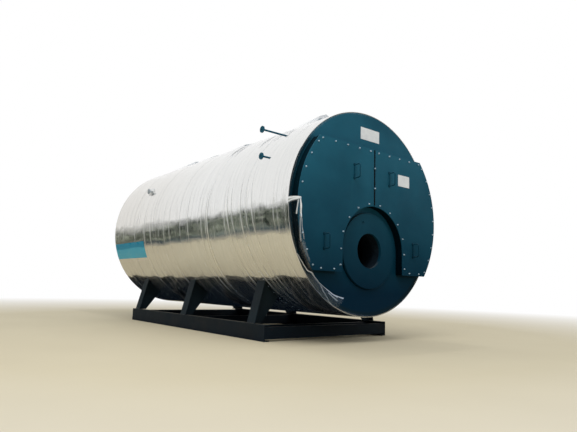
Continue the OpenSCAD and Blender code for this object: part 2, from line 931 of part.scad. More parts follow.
// Slip-on flange at the end of the flue neck
module flue_flange() {
    y0 = rear_y + rear_box_depth + flue_reach;
    color(painted)
        difference() {
            tube_y(y0, door_t, flue_flange_r, flue_neck_r + seat, 0, flue_z);
            for (i = [0.5 : flue_holes])
                bar_y(y0 - cut, door_t + 2 * cut, flue_hole_r,
                    flue_bolt_circle * sin(i * 360 / flue_holes),
                    flue_z + flue_bolt_circle * cos(i * 360 / flue_holes));
        }
}

module rear_access_neck() {
    color(painted) {
        tube_y(rear_y, access_reach, access_r, access_r - box_wall, 0, burner_z);
        tube_y(rear_y + access_reach - access_flange_t, access_flange_t, access_cover_r,
            access_r - box_wall, 0, burner_z);
    }
}

module rear_access_cover() {
    color(painted)
        difference() {
            union() {
                bar_y(rear_y + access_reach, access_cover_t, access_cover_r, 0, burner_z);
                bar_y(rear_y + access_reach, peep_len, peep_out_r, 0, burner_z);
            }
            bar_y(rear_y + access_reach + access_cover_t, peep_len, peep_in_r, 0, burner_z);
        }
}

// Bare plates

module sign_plate() {
    color("white")
        translate([sign_x - sign_w / 2, front_y - plate_t, axis_z + sign_z - sign_h / 2])
            cube([sign_w, plate_t, sign_h]);
}

module data_plate() {
    color("white")
        translate([data_x - data_w / 2, door_face_y - plate_t, axis_z + data_z - data_h / 2])
            cube([data_w, plate_t, data_h]);
}

// Film

module stretch_film() {
    top = jacket_point(leg_out_deg, 0);
    low = jacket_point(leg_in_deg, 0);
    color("#dfe6e8", 0.4)
        difference() {
            tube_y(front_y, jacket_len, film_out_r, film_in_r);
            fitting_holes(2 * pass);
            for (side = [-1, 1])
                for (y = leg_ys)
                    mirror([side > 0 ? 1 : 0, 0, 0])
                        upright(y - strip_w / 2 - film_slot, strip_w + 2 * film_slot)
                            polygon([[top[0] - film_slot_out, top[1] + film_slot],
                                [low[0] + film_slot, top[1] + film_slot],
                                [low[0] + film_slot, low[1] - film_slot_low],
                                [top[0] - film_slot_out, low[1] - film_slot_low]]);
        }
}

// Loose edge of the film that hangs out past the front rim
module film_flap() {
    in_r = jacket_r - film_t;
    color("#dfe6e8", 0.4)
        translate([0, front_y - flap_out - seat, axis_z])
            rotate([-90, 0, 0])
                rotate([0, 0, 180 - flap_down_deg])
                    rotate_extrude(angle = flap_up_deg + flap_down_deg, $fn = fine)
                        polygon([[in_r - flap_lean, 0], [in_r - flap_lean + film_t, 0],
                            [in_r + film_t, flap_out], [in_r, flap_out]]);
}

base_beam_left();
base_beam_right();
cross_members();
leg_front_left();
leg_front_right();
leg_middle_left();
leg_middle_right();
leg_rear_left();
leg_rear_right();
pressure_shell();
insulation();
front_plate();
rear_plate();
jacket_band_1();
jacket_band_2();
jacket_band_3();
jacket_band_4();
jacket_band_5();
jacket_band_6();
smoke_box();
smoke_door_left();
smoke_door_right();
door_handles_left();
door_handles_right();
burner_plate();
burner_throat();
furnace_tube();
reversal_chamber();
level_nozzles_left();
level_nozzles_right();
side_nozzle();
drain_nozzles();
steam_outlet();
safety_nozzles();
manhole_neck();
manhole_cover();
lifting_eyes();
rear_smoke_box();
rear_door_left();
rear_door_right();
rear_panel();
flue_neck();
flue_flange();
rear_access_neck();
rear_access_cover();
sign_plate();
data_plate();
stretch_film();
film_flap();
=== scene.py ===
# %% [markdown]
# # Dressing an industrial boiler
# The real object is a horizontal fire-tube boiler, ready to travel: a drum in a mirror-rolled stainless
# jacket, wrapped in clear stretch film, with a teal front, bare nozzles and a dark skid base.
# The exact solids come from the CAD model and stay as they are. This file gives each solid its real
# finish and adds what the solids leave out, such as the bolts, the welds and the film itself.

# %% Load the solids
import json
import math
import bpy
import numpy as np
from mathutils import Matrix, Vector


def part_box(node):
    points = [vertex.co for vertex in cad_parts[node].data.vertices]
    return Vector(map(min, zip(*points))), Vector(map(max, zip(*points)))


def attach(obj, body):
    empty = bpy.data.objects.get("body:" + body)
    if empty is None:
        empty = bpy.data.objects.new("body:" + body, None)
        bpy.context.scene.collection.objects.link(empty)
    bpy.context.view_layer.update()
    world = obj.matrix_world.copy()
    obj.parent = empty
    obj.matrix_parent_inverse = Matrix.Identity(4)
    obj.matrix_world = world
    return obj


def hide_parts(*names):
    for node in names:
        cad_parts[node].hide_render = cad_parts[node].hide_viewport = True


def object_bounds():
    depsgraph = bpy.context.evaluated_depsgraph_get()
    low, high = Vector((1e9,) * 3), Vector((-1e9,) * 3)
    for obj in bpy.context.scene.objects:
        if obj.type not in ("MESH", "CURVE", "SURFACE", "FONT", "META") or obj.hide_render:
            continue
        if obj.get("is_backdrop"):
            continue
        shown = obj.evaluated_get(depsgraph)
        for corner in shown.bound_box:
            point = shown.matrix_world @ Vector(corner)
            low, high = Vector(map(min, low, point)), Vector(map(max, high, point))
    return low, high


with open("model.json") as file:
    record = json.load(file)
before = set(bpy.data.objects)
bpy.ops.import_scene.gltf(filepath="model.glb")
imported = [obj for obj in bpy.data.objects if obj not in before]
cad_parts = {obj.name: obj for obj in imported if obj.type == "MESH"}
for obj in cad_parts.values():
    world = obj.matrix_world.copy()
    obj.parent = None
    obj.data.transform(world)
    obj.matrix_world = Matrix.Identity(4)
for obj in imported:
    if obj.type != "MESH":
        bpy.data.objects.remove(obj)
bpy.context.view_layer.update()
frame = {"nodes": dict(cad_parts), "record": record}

# %% [markdown]
# ## Landmarks
# Every added piece is placed from the solids, so it still fits when a size changes.
# A few landmarks are enough: the drum's axis and radius, the two end plates, the doors and the burner.
# The smoke box has two numbers of its own: its sides are arcs struck a little below the drum's axis,
# and its foot leaves room for an arch over the burner.

# %% Measure the solids
def middle(name):
    return [(a + b) / 2 for a, b in zip(*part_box(name))]


axis_z = middle("front_plate")[2]
front_y, rear_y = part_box("front_plate")[0].y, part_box("rear_plate")[1].y
drum_len = rear_y - front_y
jacket_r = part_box("jacket_band_1")[1].x
burner_z, burner_r = middle("burner_plate")[2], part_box("burner_plate")[1].x
door_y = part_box("smoke_door_left")[0].y
box_low, box_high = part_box("smoke_box")
side_drop, arch_r, arch_z = 0.034, 0.704, burner_z - axis_z
from_axis = (0, 0, -axis_z)
print(f"drum axis {axis_z:.3f} up, radius {jacket_r:.3f}, length {drum_len:.3f}, doors at y {door_y:.3f}")

# %% [markdown]
# ## Camera
# The camera looks up at the front from its left. Its place was found by fitting the round front plate,
# the bolts and the base beams, and is measured from the middle of the front plate. It is turned by its
# heading, then by its upward tilt, then by a slight roll.

# %% Camera
def show(made):
    bpy.context.scene.collection.objects.link(made)
    return made


heading, tilt, roll = (math.radians(a) for a in (39.033, 8.14, 1.71))
lens = bpy.data.cameras.new("camera")
lens.lens, lens.sensor_width = 31.24, 36
camera = show(bpy.data.objects.new("camera", lens))
camera.matrix_world = (
    Matrix.Translation((-5.952, front_y - 5.342, axis_z - 1.214)) @ Matrix.Rotation(-heading, 4, "Z")
    @ Matrix.Rotation(math.pi / 2 + tilt, 4, "X") @ Matrix.Rotation(roll, 4, "Z"))
bpy.context.scene.camera = camera
bpy.context.scene.view_settings.view_transform = "Standard"
print("camera at", [round(v, 3) for v in camera.matrix_world.translation])

# %% [markdown]
# ## Helpers for materials
# Each finish is a small network of nodes round one Principled shader. These helpers keep every network
# short: one makes a node and fills its sockets, the others name the few patterns used again and again.
# All patterns read Object coordinates, which for these pieces are metres in the shared frame.

# %% Networks of nodes
class Net:
    """A tree of nodes, with short names for its usual patterns."""

    def __init__(self, tree):
        self.tree = tree

    def node(self, kind, *in_order, **named):
        """Adds a node. Values fill its inputs in order. A capital names an input, a small letter a setting."""
        made = self.tree.nodes.new(kind)
        inputs = {k: value for k, value in enumerate(in_order) if value is not None}
        for key, value in named.items():
            if key[0].isupper():
                inputs[key.replace("_", " ")] = value
            else:
                setattr(made, key, value)
        for key, value in inputs.items():
            if isinstance(value, bpy.types.NodeSocket):
                self.tree.links.new(value, made.inputs[key])
            else:
                made.inputs[key].default_value = value
        return made

    def out(self, kind, *in_order, **named):
        return self.node(kind, *in_order, **named).outputs[0]

    def math(self, operation, *values):
        return self.out("ShaderNodeMath", *values, operation=operation)

    def times(self, first, second):
        return self.math("MULTIPLY", first, second)

    def remap(self, value, low, high, to_low=0.0, to_high=1.0):
        return self.out("ShaderNodeMapRange", value, low, high, to_low, to_high)

    def blend(self, share, first, second):
        first, second = ((*c, 1) if isinstance(c, tuple) else c for c in (first, second))
        return self.node("ShaderNodeMix", share, *[None] * 5, first, second, data_type="RGBA").outputs[2]

    def coat(self, body, *coats):
        """Lays colours over a body one after the other, each as strongly as its share says."""
        for share, color in coats:
            body = self.blend(share, body, color)
        return body

    def place(self, stretch=(1, 1, 1), shift=(0, 0, 0)):
        where = self.node("ShaderNodeTexCoord").outputs["Object"]
        return self.out("ShaderNodeMapping", Vector=where, Scale=stretch, Location=shift)

    def spot(self, shift=(0, 0, 0)):
        return self.node("ShaderNodeSeparateXYZ", self.place(shift=shift)).outputs

    def noise(self, scale, detail=3, roughness=0.5, stretch=(1, 1, 1), shift=(0, 0, 0)):
        return self.out("ShaderNodeTexNoise", Vector=self.place(stretch, shift), Scale=scale, Detail=detail,
                        Roughness=roughness)

    def random(self, low, high, seed):
        made = self.node("FunctionNodeRandomValue", None, None, low, high, Seed=seed, data_type="FLOAT")
        return made.outputs[1]

    def facing_up(self, low, high):
        normal = self.node("ShaderNodeNewGeometry").outputs["Normal"]
        return self.remap(self.node("ShaderNodeSeparateXYZ", normal).outputs["Z"], low, high)

    def bump(self, height, distance, strength, below=None):
        under = {} if below is None else {"Normal": below}
        return self.out("ShaderNodeBump", Height=height, Distance=distance, Strength=strength, **under)


class Finish(Net):
    """A material: one Principled shader and the network that feeds it."""

    def __init__(self, name, **sockets):
        self.material = bpy.data.materials.new(name)
        self.material.use_nodes = True
        super().__init__(self.material.node_tree)
        self.shader = self.tree.nodes["Principled BSDF"]
        for key, value in sockets.items():
            self.shader.inputs[key.replace("_", " ")].default_value = value

    def feed(self, **patterns):
        for key, pattern in patterns.items():
            self.tree.links.new(pattern, self.shader.inputs[key.replace("_", " ")])
        return self.material

    def end_in(self, surface):
        self.tree.links.new(surface, self.tree.nodes["Material Output"].inputs["Surface"])
        return self.material


print("material helpers ready")

# %% [markdown]
# ## Teal enamel
# The front, the doors, the nozzles and the rear are brushed and sprayed with a deep teal enamel.
# It has painted shade low down, faint vertical runs, a fine orange-peel skin and a little dust
# where a face looks up. The shop coat isn't level, so a slow bump lets the reflections swim.
# One number sets how light the coat is: its lower copies are painted shade, on the smoke box's walls,
# round the burner and on the handles. The front plate also has painted shade on the ledge beside the
# smoke box and in the line under the box's foot.

# %% Teal enamel
# Painted shade on the front plate: the ledge beside the smoke box and a line under the box's foot.
def ledge_shade(net):
    spot, foot = net.spot(from_axis), box_low.z - axis_z
    squares = [net.math("POWER", spot[axis], 2.0) for axis in ("X", "Z")]
    beside = net.times(net.remap(net.math("SQRT", net.math("ADD", *squares)), jacket_r - 0.09, jacket_r - 0.06),
                       net.remap(spot["Z"], 0.93, 1.06, 0.85, 0))
    under = net.times(net.remap(spot["Z"], foot - 0.055, foot - 0.02, 0, 0.8),
                      net.remap(spot["Z"], foot, foot + 0.01, 1, 0))
    outside_arch = net.remap(net.math("ABSOLUTE", spot["X"]), 0.69, 0.72)
    return net.math("MAXIMUM", beside, net.times(under, outside_arch))


def teal_enamel(name, share, gloss=0.045, ledge=False):
    def tint(*color):
        return tuple(c * share for c in color)

    net = Finish(name, Specular_IOR_Level=gloss)
    clouds = net.remap(net.noise(1.1, 4), 0.35, 0.65)
    runs = net.remap(net.noise(1.0, 3, stretch=(11, 11, 0.7)), 0.58, 0.75, 0, 0.25 * share)
    # Painted shade: the coat darkens towards the bottom.
    low_down = net.remap(net.spot()["Z"], 0.75, axis_z + 0.45, 1.0, 0.0)
    chips = net.remap(net.noise(55, 2), 0.74, 0.78, 0, 0.6)
    dust = net.times(net.facing_up(0.5, 0.95), net.remap(net.noise(9, 4), 0.3, 0.7, 0.2 * share, 0.6 * share))
    body = net.blend(clouds, tint(0.0085, 0.069, 0.114), tint(0.0135, 0.098, 0.156))
    body = net.coat(body, (runs, (0.011, 0.092, 0.135)), (low_down, tint(0.0002, 0.0155, 0.036)),
                    (chips, (0.05, 0.07, 0.075)), (dust, (0.16, 0.15, 0.12)))
    # The front plate's painted shade.
    if ledge:
        body = net.blend(ledge_shade(net), body, (0.0035, 0.015, 0.024))
    skin = net.bump(net.noise(260, 2), 0.0004, 0.5)
    return net.feed(Base_Color=body, Roughness=net.remap(net.noise(5, 4), 0.3, 0.7, 0.34, 0.52),
                    Normal=net.bump(net.noise(2.6, 2), 0.012, 0.5, skin))


teal = teal_enamel("teal_enamel", 1.0)
# Copies with a lower share are painted shade: the smoke box's walls, the handles and the burner plate.
shaded_teal = teal_enamel("teal_enamel_thin", 0.12, gloss=0.012)
handle_teal = teal_enamel("teal_enamel_worn", 0.75)
burner_teal = teal_enamel("teal_enamel_sooty", 0.84)
plate_teal = teal_enamel("teal_enamel_ledge", 1.0, ledge=True)
print("made", teal.name, shaded_teal.name, handle_teal.name, burner_teal.name, plate_teal.name)

# %% [markdown]
# ## Dark base paint
# The skid beams, the cross members and the legs are dipped in a cheap near-black paint. Road dust lies
# on their upper faces, rust comes through in small specks, and the beams are darker than the legs.

# %% Base paint
def base_coat():
    net = Finish("base_paint", Specular_IOR_Level=0.17)
    beam_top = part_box("base_beam_left")[1].z
    clouds = net.remap(net.noise(2.2, 5), 0.3, 0.7)
    scuffs = net.remap(net.noise(1.0, 4, stretch=(3, 40, 12)), 0.62, 0.72, 0, 0.5)
    rust = net.remap(net.noise(26, 5, 0.65), 0.66, 0.72, 0, 0.8)
    dust = net.times(net.facing_up(0.3, 0.9), net.remap(net.noise(6, 5), 0.3, 0.7, 0.25, 0.8))
    on_beams = net.remap(net.spot()["Z"], beam_top - 0.015, beam_top + 0.01, 0.5, 0)
    body = net.blend(clouds, (0.003, 0.009, 0.014), (0.010, 0.021, 0.030))
    body = net.coat(body, (scuffs, (0.028, 0.035, 0.039)), (rust, (0.075, 0.028, 0.012)),
                    (dust, (0.15, 0.14, 0.115)), (on_beams, (0.0005, 0.003, 0.009)))
    grit = net.bump(net.noise(180, 3), 0.0006, 0.7)
    return net.feed(Base_Color=body, Roughness=net.remap(clouds, 0, 1, 0.5, 0.72),
                    Normal=net.bump(net.noise(14, 3), 0.003, 0.5, grit))


base_paint = base_coat()
print("made", base_paint.name)

# %% [markdown]
# ## Mirror-rolled stainless
# The jacket is thin bright sheet. It mirrors the sky, the floor and whatever stands between them, but
# it is never flat: the sheet dents softly between its fixings, and the rolls leave long marks round
# the drum. Stretching the noise along x and z draws those marks without any seam in the pattern. Towards
# the rear the sheet is a little duller and warmer, and on its sheltered underside it is clearer.

# %% Stainless
def mirror_steel():
    net = Finish("stainless", Metallic=1.0)
    spot = net.spot(from_axis)
    marks = net.noise(1.0, 4, 0.6, stretch=(1.6, 34, 1.6))
    waves = net.noise(1.0, 4, 0.65, stretch=(0.9, 26, 0.9), shift=(3, 5, 7))
    broad = net.noise(1.0, 2, stretch=(1.1, 3.5, 1.1))
    body = net.blend(net.remap(marks, 0.35, 0.65), (0.745, 0.75, 0.74), (0.80, 0.80, 0.785))
    rearward = net.remap(spot["Y"], front_y + 2.6, front_y + 6.0)
    body = net.blend(rearward, body, (0.685, 0.665, 0.625))
    blur = net.times(net.remap(waves, 0.45, 0.72), net.remap(broad, 0.35, 0.6, 0.35, 1.0))
    blur = net.times(blur, net.remap(spot["Z"], -1.35, -1.0, 0.2, 1.0))
    dents = net.noise(1.0, 2, stretch=(1.5, 1.1, 1.5))
    return net.feed(Base_Color=body, Roughness=net.remap(blur, 0, 1, 0.05, 0.36),
                    Normal=net.bump(dents, 0.05, 0.5, net.bump(marks, 0.0005, 0.5)))


stainless = mirror_steel()
print("made", stainless.name)

# %% [markdown]
# ## Film, furnace and small finishes
# Most of the film lets light through, and only its folds and overlaps turn milky. How milky, and how much
# painted shade darkens a gap between two turns, comes from two attributes that each sheet carries: haze and
# shade. Fine streaks run round the drum between the folds, and are weak on the bright crown. The milky part
# has a painted bluish shade under the drum, and a painted warm reflection of the floor where the sheet
# lies over the drum's lower side.
# The other finishes follow one pattern: a base colour and a roughness that vary together, and a bump.

# %% Stretch film
clear_tint = (0.90, 0.94, 0.98)


def clear_film(name, least, most, floor_reflection_tint):
    net = Finish(name, Roughness=0.2)
    streaks = net.noise(1.0, 4, 0.6, stretch=(1.8, 44, 1.8))
    broad = net.noise(1.0, 3, stretch=(1.1, 9, 1.1))
    haze, shade = (net.node("ShaderNodeAttribute", attribute_name=key).outputs["Fac"]
                   for key in ("haze", "shade"))
    height = net.spot(from_axis)["Z"]
    # Painted reflection: the milky film takes the floor's warm colour on the drum's lower side.
    body = net.blend(net.remap(height, -0.5, -0.2), floor_reflection_tint, clear_tint)
    # Painted shade: the milky film is bluish under the drum.
    body = net.blend(net.remap(height, -1.3, -0.9), (0.60, 0.73, 0.95), body)
    # Painted shade in the slits and on the high film near the front.
    body = net.blend(shade, body, (0.08, 0.095, 0.12))
    patches = net.times(net.remap(broad, 0.40, 0.64, 0.12, 1.0), net.remap(height, 0.25, 0.6, 1.0, 0.16))
    patches = net.times(patches, net.remap(height, -1.25, -0.95, 0.35, 1.0))
    lines = net.times(net.remap(streaks, 0.58, 0.80), patches)
    cover = net.math("ADD", net.times(lines, most - least), net.math("MAXIMUM", haze, shade))
    crumple = net.noise(1.0, 4, stretch=(7, 22, 7))
    return net.feed(Base_Color=body, Specular_IOR_Level=net.remap(shade, 0, 0.5, 0.5, 0),
                    Alpha=net.remap(cover, 0, 1, least, 1.0),
                    Normal=net.bump(crumple, 0.004, 0.5, net.bump(streaks, 0.0008, 0.5)))


# The warm colour is the painted reflection of the floor.
film = clear_film("stretch_film", 0.02, 0.5, (1.0, 0.90, 0.72))
loose_film = clear_film("loose_film", 0.004, 0.05, clear_tint)
print("made", film.name, loose_film.name)

# %% Bare steel, refractory, wool and plates
def plain_finish(name, dark, light, scale, rough, grain, depth, **sockets):
    net = Finish(name, **sockets)
    pattern = net.noise(scale, 5, 0.6)
    return net.feed(Base_Color=net.blend(net.remap(pattern, 0.32, 0.68), dark, light),
                    Roughness=net.remap(pattern, 0.3, 0.7, *rough),
                    Normal=net.bump(net.noise(grain, 4), depth, 0.8))


boiler_plate = plain_finish("boiler_plate", (0.006, 0.007, 0.010), (0.017, 0.015, 0.015), 7, (0.6, 0.85),
                            90, 0.001, Metallic=0.2)
# Painted shade: the refractory is near black and bluish, as the deep furnace throat looks in shade.
refractory = plain_finish("refractory", (0.004, 0.008, 0.013), (0.010, 0.018, 0.026), 16, (0.85, 0.98),
                          120, 0.003, Specular_IOR_Level=0.08)
wool = plain_finish("wool", (0.42, 0.35, 0.19), (0.62, 0.54, 0.34), 30, (0.9, 1.0),
                    240, 0.004, Sheen_Weight=0.3)
white_sheet = plain_finish("white_sheet", (0.64, 0.67, 0.71), (0.74, 0.77, 0.80), 11, (0.3, 0.42), 30, 0.0006)
zinc = plain_finish("zinc_plated", (0.42, 0.54, 0.64), (0.62, 0.76, 0.88), 60, (0.24, 0.42),
                    400, 0.0003, Metallic=0.5)
machined = plain_finish("machined_steel", (0.36, 0.36, 0.35), (0.56, 0.56, 0.55), 40, (0.22, 0.4),
                        500, 0.0003, Metallic=1.0)
glass = plain_finish("peephole_glass", (0.012, 0.020, 0.022), (0.022, 0.034, 0.036), 20, (0.04, 0.08),
                     60, 0.0002)
sealant = plain_finish("black_sealant", (0.001, 0.001, 0.002), (0.004, 0.004, 0.005), 160, (0.75, 0.95),
                       420, 0.001, Specular_IOR_Level=0.1)
print("made", len(bpy.data.materials), "materials so far")

# %% [markdown]
# ## Give the solids their finishes
# The record names a slot for every solid. One table from slot to finish dresses them all at once, and
# no solid keeps the plain colour that it was packed with. A second table holds the teal parts whose coat
# differs from the rest: darker copies that are painted shade on the smoke box, the burner plate and the
# handles, and painted shade on the front plate's ledge.

# %% Dress the solids
finishes = {"teal_paint": teal, "base_paint": base_paint, "stainless": stainless, "film": film, "wool": wool,
            "refractory": refractory, "boiler_plate": boiler_plate, "plate_white": white_sheet}
coats = {"smoke_box": shaded_teal, "burner_plate": burner_teal, "front_plate": plate_teal,
         "door_handles_left": handle_teal, "door_handles_right": handle_teal}
for part in frame["record"]["subparts"]:
    for held in frame["nodes"][part["node"]].material_slots:
        held.material = coats.get(part["node"], finishes[part["material_slot"]])

# %% [markdown]
# ## Helpers for shapes
# Most added pieces are grids: rows of points joined into four-sided faces, closed to a ring where they go
# round. Every piece rides on the boiler's one body.

# %% Helpers for shapes
def keep(name, mesh):
    piece = show(bpy.data.objects.new(name, mesh))
    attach(piece, "root")
    print(f"{name}: {len(mesh.polygons)} faces")
    return piece


def make_piece(name, points, faces, material, slot, smooth=True, uv=None, **attributes):
    mesh = bpy.data.meshes.new(name)
    mesh.from_pydata(np.reshape(points, (-1, 3)).tolist(), [], np.asarray(faces).tolist())
    mesh.materials.append(material)
    mesh.polygons.foreach_set("use_smooth", [smooth] * len(mesh.polygons))
    if uv is not None:
        corners = np.empty(len(mesh.loops), int)
        mesh.loops.foreach_get("vertex_index", corners)
        mesh.uv_layers.new(name="UVMap").data.foreach_set("uv", uv[corners].ravel())
    for key, values in attributes.items():
        mesh.attributes.new(key, "FLOAT", "POINT").data.foreach_set("value", np.ravel(values))
    mesh.update()
    return keep(name, mesh)


def grid_faces(rows, columns, closed=False):
    across = columns if closed else columns - 1
    row, column = (v.ravel() for v in np.meshgrid(np.arange(rows - 1), np.arange(across), indexing="ij"))
    after = (column + 1) % columns
    return np.stack([row * columns + column, row * columns + after,
                     (row + 1) * columns + after, (row + 1) * columns + column], 1)


def grid_points(x, y, z):
    return np.stack(np.broadcast_arrays(x, y, z), -1)


def grid_uv(across, along):
    return np.stack([v.ravel() for v in np.broadcast_arrays(across, along)], 1)


def revolve(profile, steps):
    """Turns a list of (radius, distance) about a line: two arrays across the line and one along it."""
    radius, distance = np.array(profile, float).T[:, :, None]
    turn = np.linspace(0, 2 * np.pi, steps, endpoint=False)
    return radius * np.cos(turn), radius * np.sin(turn), distance


print("shape helpers ready")

# %% [markdown]
# ## Fasteners
# Every flange and door is held by the same kind of fastener: a washer, a hex nut and the end of a stud.
# A Geometry Nodes tree sets one on each point of a small mesh and turns it to face the way the point
# says, so a whole ring of bolts is one list of points. The result is kept as a plain mesh.

# %% Helpers for trees
def new_tree(name, carrier, sizes, seed):
    """An empty tree with named inputs: its points or lines, its sizes, its seed and its finish."""
    tree = bpy.data.node_groups.new(name, "GeometryNodeTree")
    tree.interface.new_socket(name="Geometry", in_out="OUTPUT", socket_type="NodeSocketGeometry")
    rows = [(carrier, "Geometry", None), *((key, "Float", value) for key, value in sizes.items()),
            ("Seed", "Int", seed), ("Finish", "Material", None)]
    for key, kind, value in rows:
        made = tree.interface.new_socket(name=key, in_out="INPUT", socket_type="NodeSocket" + kind)
        if value is not None:
            made.default_value = value
    net = Net(tree)
    return net, net.node("NodeGroupInput").outputs


def end_tree(net, shape, finish):
    real = net.out("GeometryNodeRealizeInstances", shape)
    net.node("NodeGroupOutput", net.out("GeometryNodeSetMaterial", Geometry=real, Material=finish))
    return net.tree


def named_inputs(tree):
    return {s.name: s.identifier for s in tree.interface.items_tree if s.in_out == "INPUT"}


def grow(name, source, tree, settings, material, edges=(), facing=None):
    """Runs a tree on a small mesh of points and edges, and keeps a plain mesh."""
    mesh = bpy.data.meshes.new(name + "_source")
    mesh.from_pydata(np.asarray(source, float).tolist(), edges, [])
    if facing is not None:
        facing = np.broadcast_to(np.asarray(facing, float), (len(source), 3)).ravel()
        mesh.attributes.new("facing", "FLOAT_VECTOR", "POINT").data.foreach_set("vector", facing)
    holder = show(bpy.data.objects.new(name + "_source", mesh))
    modifier = holder.modifiers.new("grow", "NODES")
    modifier.node_group = tree
    for key, value in {**settings, "Finish": material}.items():
        modifier[named_inputs(tree)[key]] = value
    holder.update_tag()
    graph = bpy.context.evaluated_depsgraph_get()
    solid = bpy.data.meshes.new_from_object(holder.evaluated_get(graph), depsgraph=graph)
    bpy.data.objects.remove(holder)
    solid.name = name
    return keep(name, solid)


print("tree helpers ready")

# %% Tree for the fasteners
def fastener_sizes(washer, nut, stud):
    """Names the radius and height of the three pieces of a fastener."""
    return {f"{piece} {size}": value for piece, pair in (("Washer", washer), ("Nut", nut), ("Stud", stud))
            for size, value in zip(("radius", "height"), pair)}


door_size = fastener_sizes((0.012, 0.0025), (0.0108, 0.010), (0.006, 0.006))
cover_size = fastener_sizes((0.019, 0.0025), (0.015, 0.014), (0.008, 0.012))
manhole_size = fastener_sizes((0.022, 0.0025), (0.018, 0.014), (0.009, 0.010))
rivet_size = fastener_sizes((0.005, 0.001), (0.0032, 0.0012), (0.002, 0.0004))
screw_size = fastener_sizes((0.006, 0.001), (0.0042, 0.0028), (0.002, 0.0004))


def fastener_tree(full_turn=6.283):
    net, given = new_tree("fasteners", "Points", door_size, seed=4)
    joined, base = net.node("GeometryNodeJoinGeometry"), 0.0
    for sides, name in ((18, "Washer"), (6, "Nut"), (10, "Stud")):
        tall = given[name + " height"]
        solid = net.out("GeometryNodeMeshCylinder", Vertices=sides, Radius=given[name + " radius"], Depth=tall)
        lift = net.out("ShaderNodeCombineXYZ", Z=net.math("ADD", net.times(tall, 0.5), base))
        base = net.math("ADD", tall, base)
        net.tree.links.new(net.out("GeometryNodeTransform", Geometry=solid, Translation=lift), joined.inputs[0])
    facing = net.out("GeometryNodeInputNamedAttribute", Name="facing", data_type="FLOAT_VECTOR")
    aimed = net.out("FunctionNodeAlignRotationToVector", Vector=facing, axis="Z")
    spin = net.random(0.0, full_turn, given["Seed"])
    about = net.out("FunctionNodeAxisAngleToRotation", Axis=(0, 0, 1), Angle=spin)
    turned = net.out("FunctionNodeRotateRotation", Rotation=aimed, Rotate_By=about, rotation_space="LOCAL")
    set_on = net.out("GeometryNodeInstanceOnPoints", Points=given["Points"], Instance=joined.outputs[0],
                     Rotation=turned)
    return end_tree(net, set_on, given["Finish"])


fasteners = fastener_tree()


def bolt_on(name, points, facing, sizes=door_size):
    return grow(name, points, fasteners, sizes, zinc, facing=facing)


print("fastener inputs:", list(named_inputs(fasteners)))

# %% [markdown]
# ## Bolts of the smoke box doors
# The doors are bolted round their edge: a row along the top, an arc down each side, a short row at the
# bottom and a ring round the burner arch. Rows are lists of sideways places and arcs are lists of angles.
# Heights are measured from the drum's axis.

# %% Door bolts
def on_arc(radius, middle_z, angles):
    return [(radius * math.cos(math.radians(a)), middle_z + radius * math.sin(math.radians(a))) for a in angles]


def pairs(rows, z):
    """The same sideways places left and right of the middle, at one height."""
    return [(s * x, z) for s in (-1, 1) for x in rows]


def on_plane(places, y):
    return [(x, y, axis_z + z) for x, z in places]


side_arc = [142.5 + 8.9 * k for k in range(9)]
arch_arc = [10.15 + 20.3 * k for k in range(5)]
places = pairs([0.096 + 0.26 * k for k in range(5)], 0.970)
places += on_arc(1.538, -side_drop, side_arc) + on_arc(1.538, -side_drop, [180 - a for a in side_arc])
places += pairs((0.868, 1.125), -0.924)
places += on_arc(arch_r + 0.028, arch_z, [90 + s * a for s in (-1, 1) for a in arch_arc])
places += pairs((0.74,), -0.857)
bolt_on("door_bolts", on_plane(places, door_y), (0, -1, 0))

# %% [markdown]
# Two flat clamps hold the seam between the doors, each with one bolt. Their edges are slightly rounded.

# %% Clamps over the seam between the doors
clamp_heights, clamp_x, clamp_y, clamp_z = (0.703, 0.379), 0.040, 0.006, 0.012
box_faces = np.array([(0, 1, 3, 2), (4, 6, 7, 5), (0, 4, 5, 1), (2, 3, 7, 6), (0, 2, 6, 4), (1, 5, 7, 3)])
corners = [(x, door_y + y, axis_z + height + z) for height in clamp_heights for x in (-clamp_x, clamp_x)
           for y in (-clamp_y, 0) for z in (-clamp_z, clamp_z)]
seam_clamps = make_piece("seam_clamps", corners, np.concatenate([box_faces, box_faces + 8]), teal, "teal_paint",
                         smooth=False)
rounded = seam_clamps.modifiers.new("edges", "BEVEL")
rounded.width, rounded.segments = 0.0015, 2
bolt_on("clamp_bolts", on_plane([(0, z) for z in clamp_heights], door_y - clamp_y), (0, -1, 0))

# %% [markdown]
# ## Welds and the door seal
# A weld bead is a row of small overlapping scallops that follows an edge. A second Geometry Nodes tree
# turns a line into a curve, cuts it into short steps and sweeps a small circle along it, with a radius
# that varies a little at each step. The black sealant pressed into the door seam is the same, but thicker.

# %% Tree for the beads
def bead_tree():
    net, given = new_tree("bead", "Line", {"Bead radius": 0.005, "Step length": 0.014, "Least swell": 0.7,
                                           "Most swell": 1.15}, seed=7)
    curve = net.out("GeometryNodeMeshToCurve", Mesh=given["Line"])
    even = net.out("GeometryNodeResampleCurve", Curve=curve, Length=given["Step length"], mode="LENGTH")
    swell = net.random(given["Least swell"], given["Most swell"], given["Seed"])
    ring = net.out("GeometryNodeCurvePrimitiveCircle", Resolution=6, Radius=given["Bead radius"])
    swept = net.out("GeometryNodeCurveToMesh", Curve=even, Profile_Curve=ring, Scale=swell, Fill_Caps=True)
    return end_tree(net, net.out("GeometryNodeSetShadeSmooth", swept), given["Finish"])


beads = bead_tree()


def lay(name, lines, closed, settings, material):
    """Lays a bead on every line of a list, each open or closed to a ring."""
    points, edges = [], []
    for path in lines:
        first = len(points)
        points += path
        edges += [(first + k, first + k + 1) for k in range(len(path) - 1)]
        if closed:
            edges.append((first + len(path) - 1, first))
    return grow(name, points, beads, settings, material, edges=edges)


print("bead inputs:", list(named_inputs(beads)))

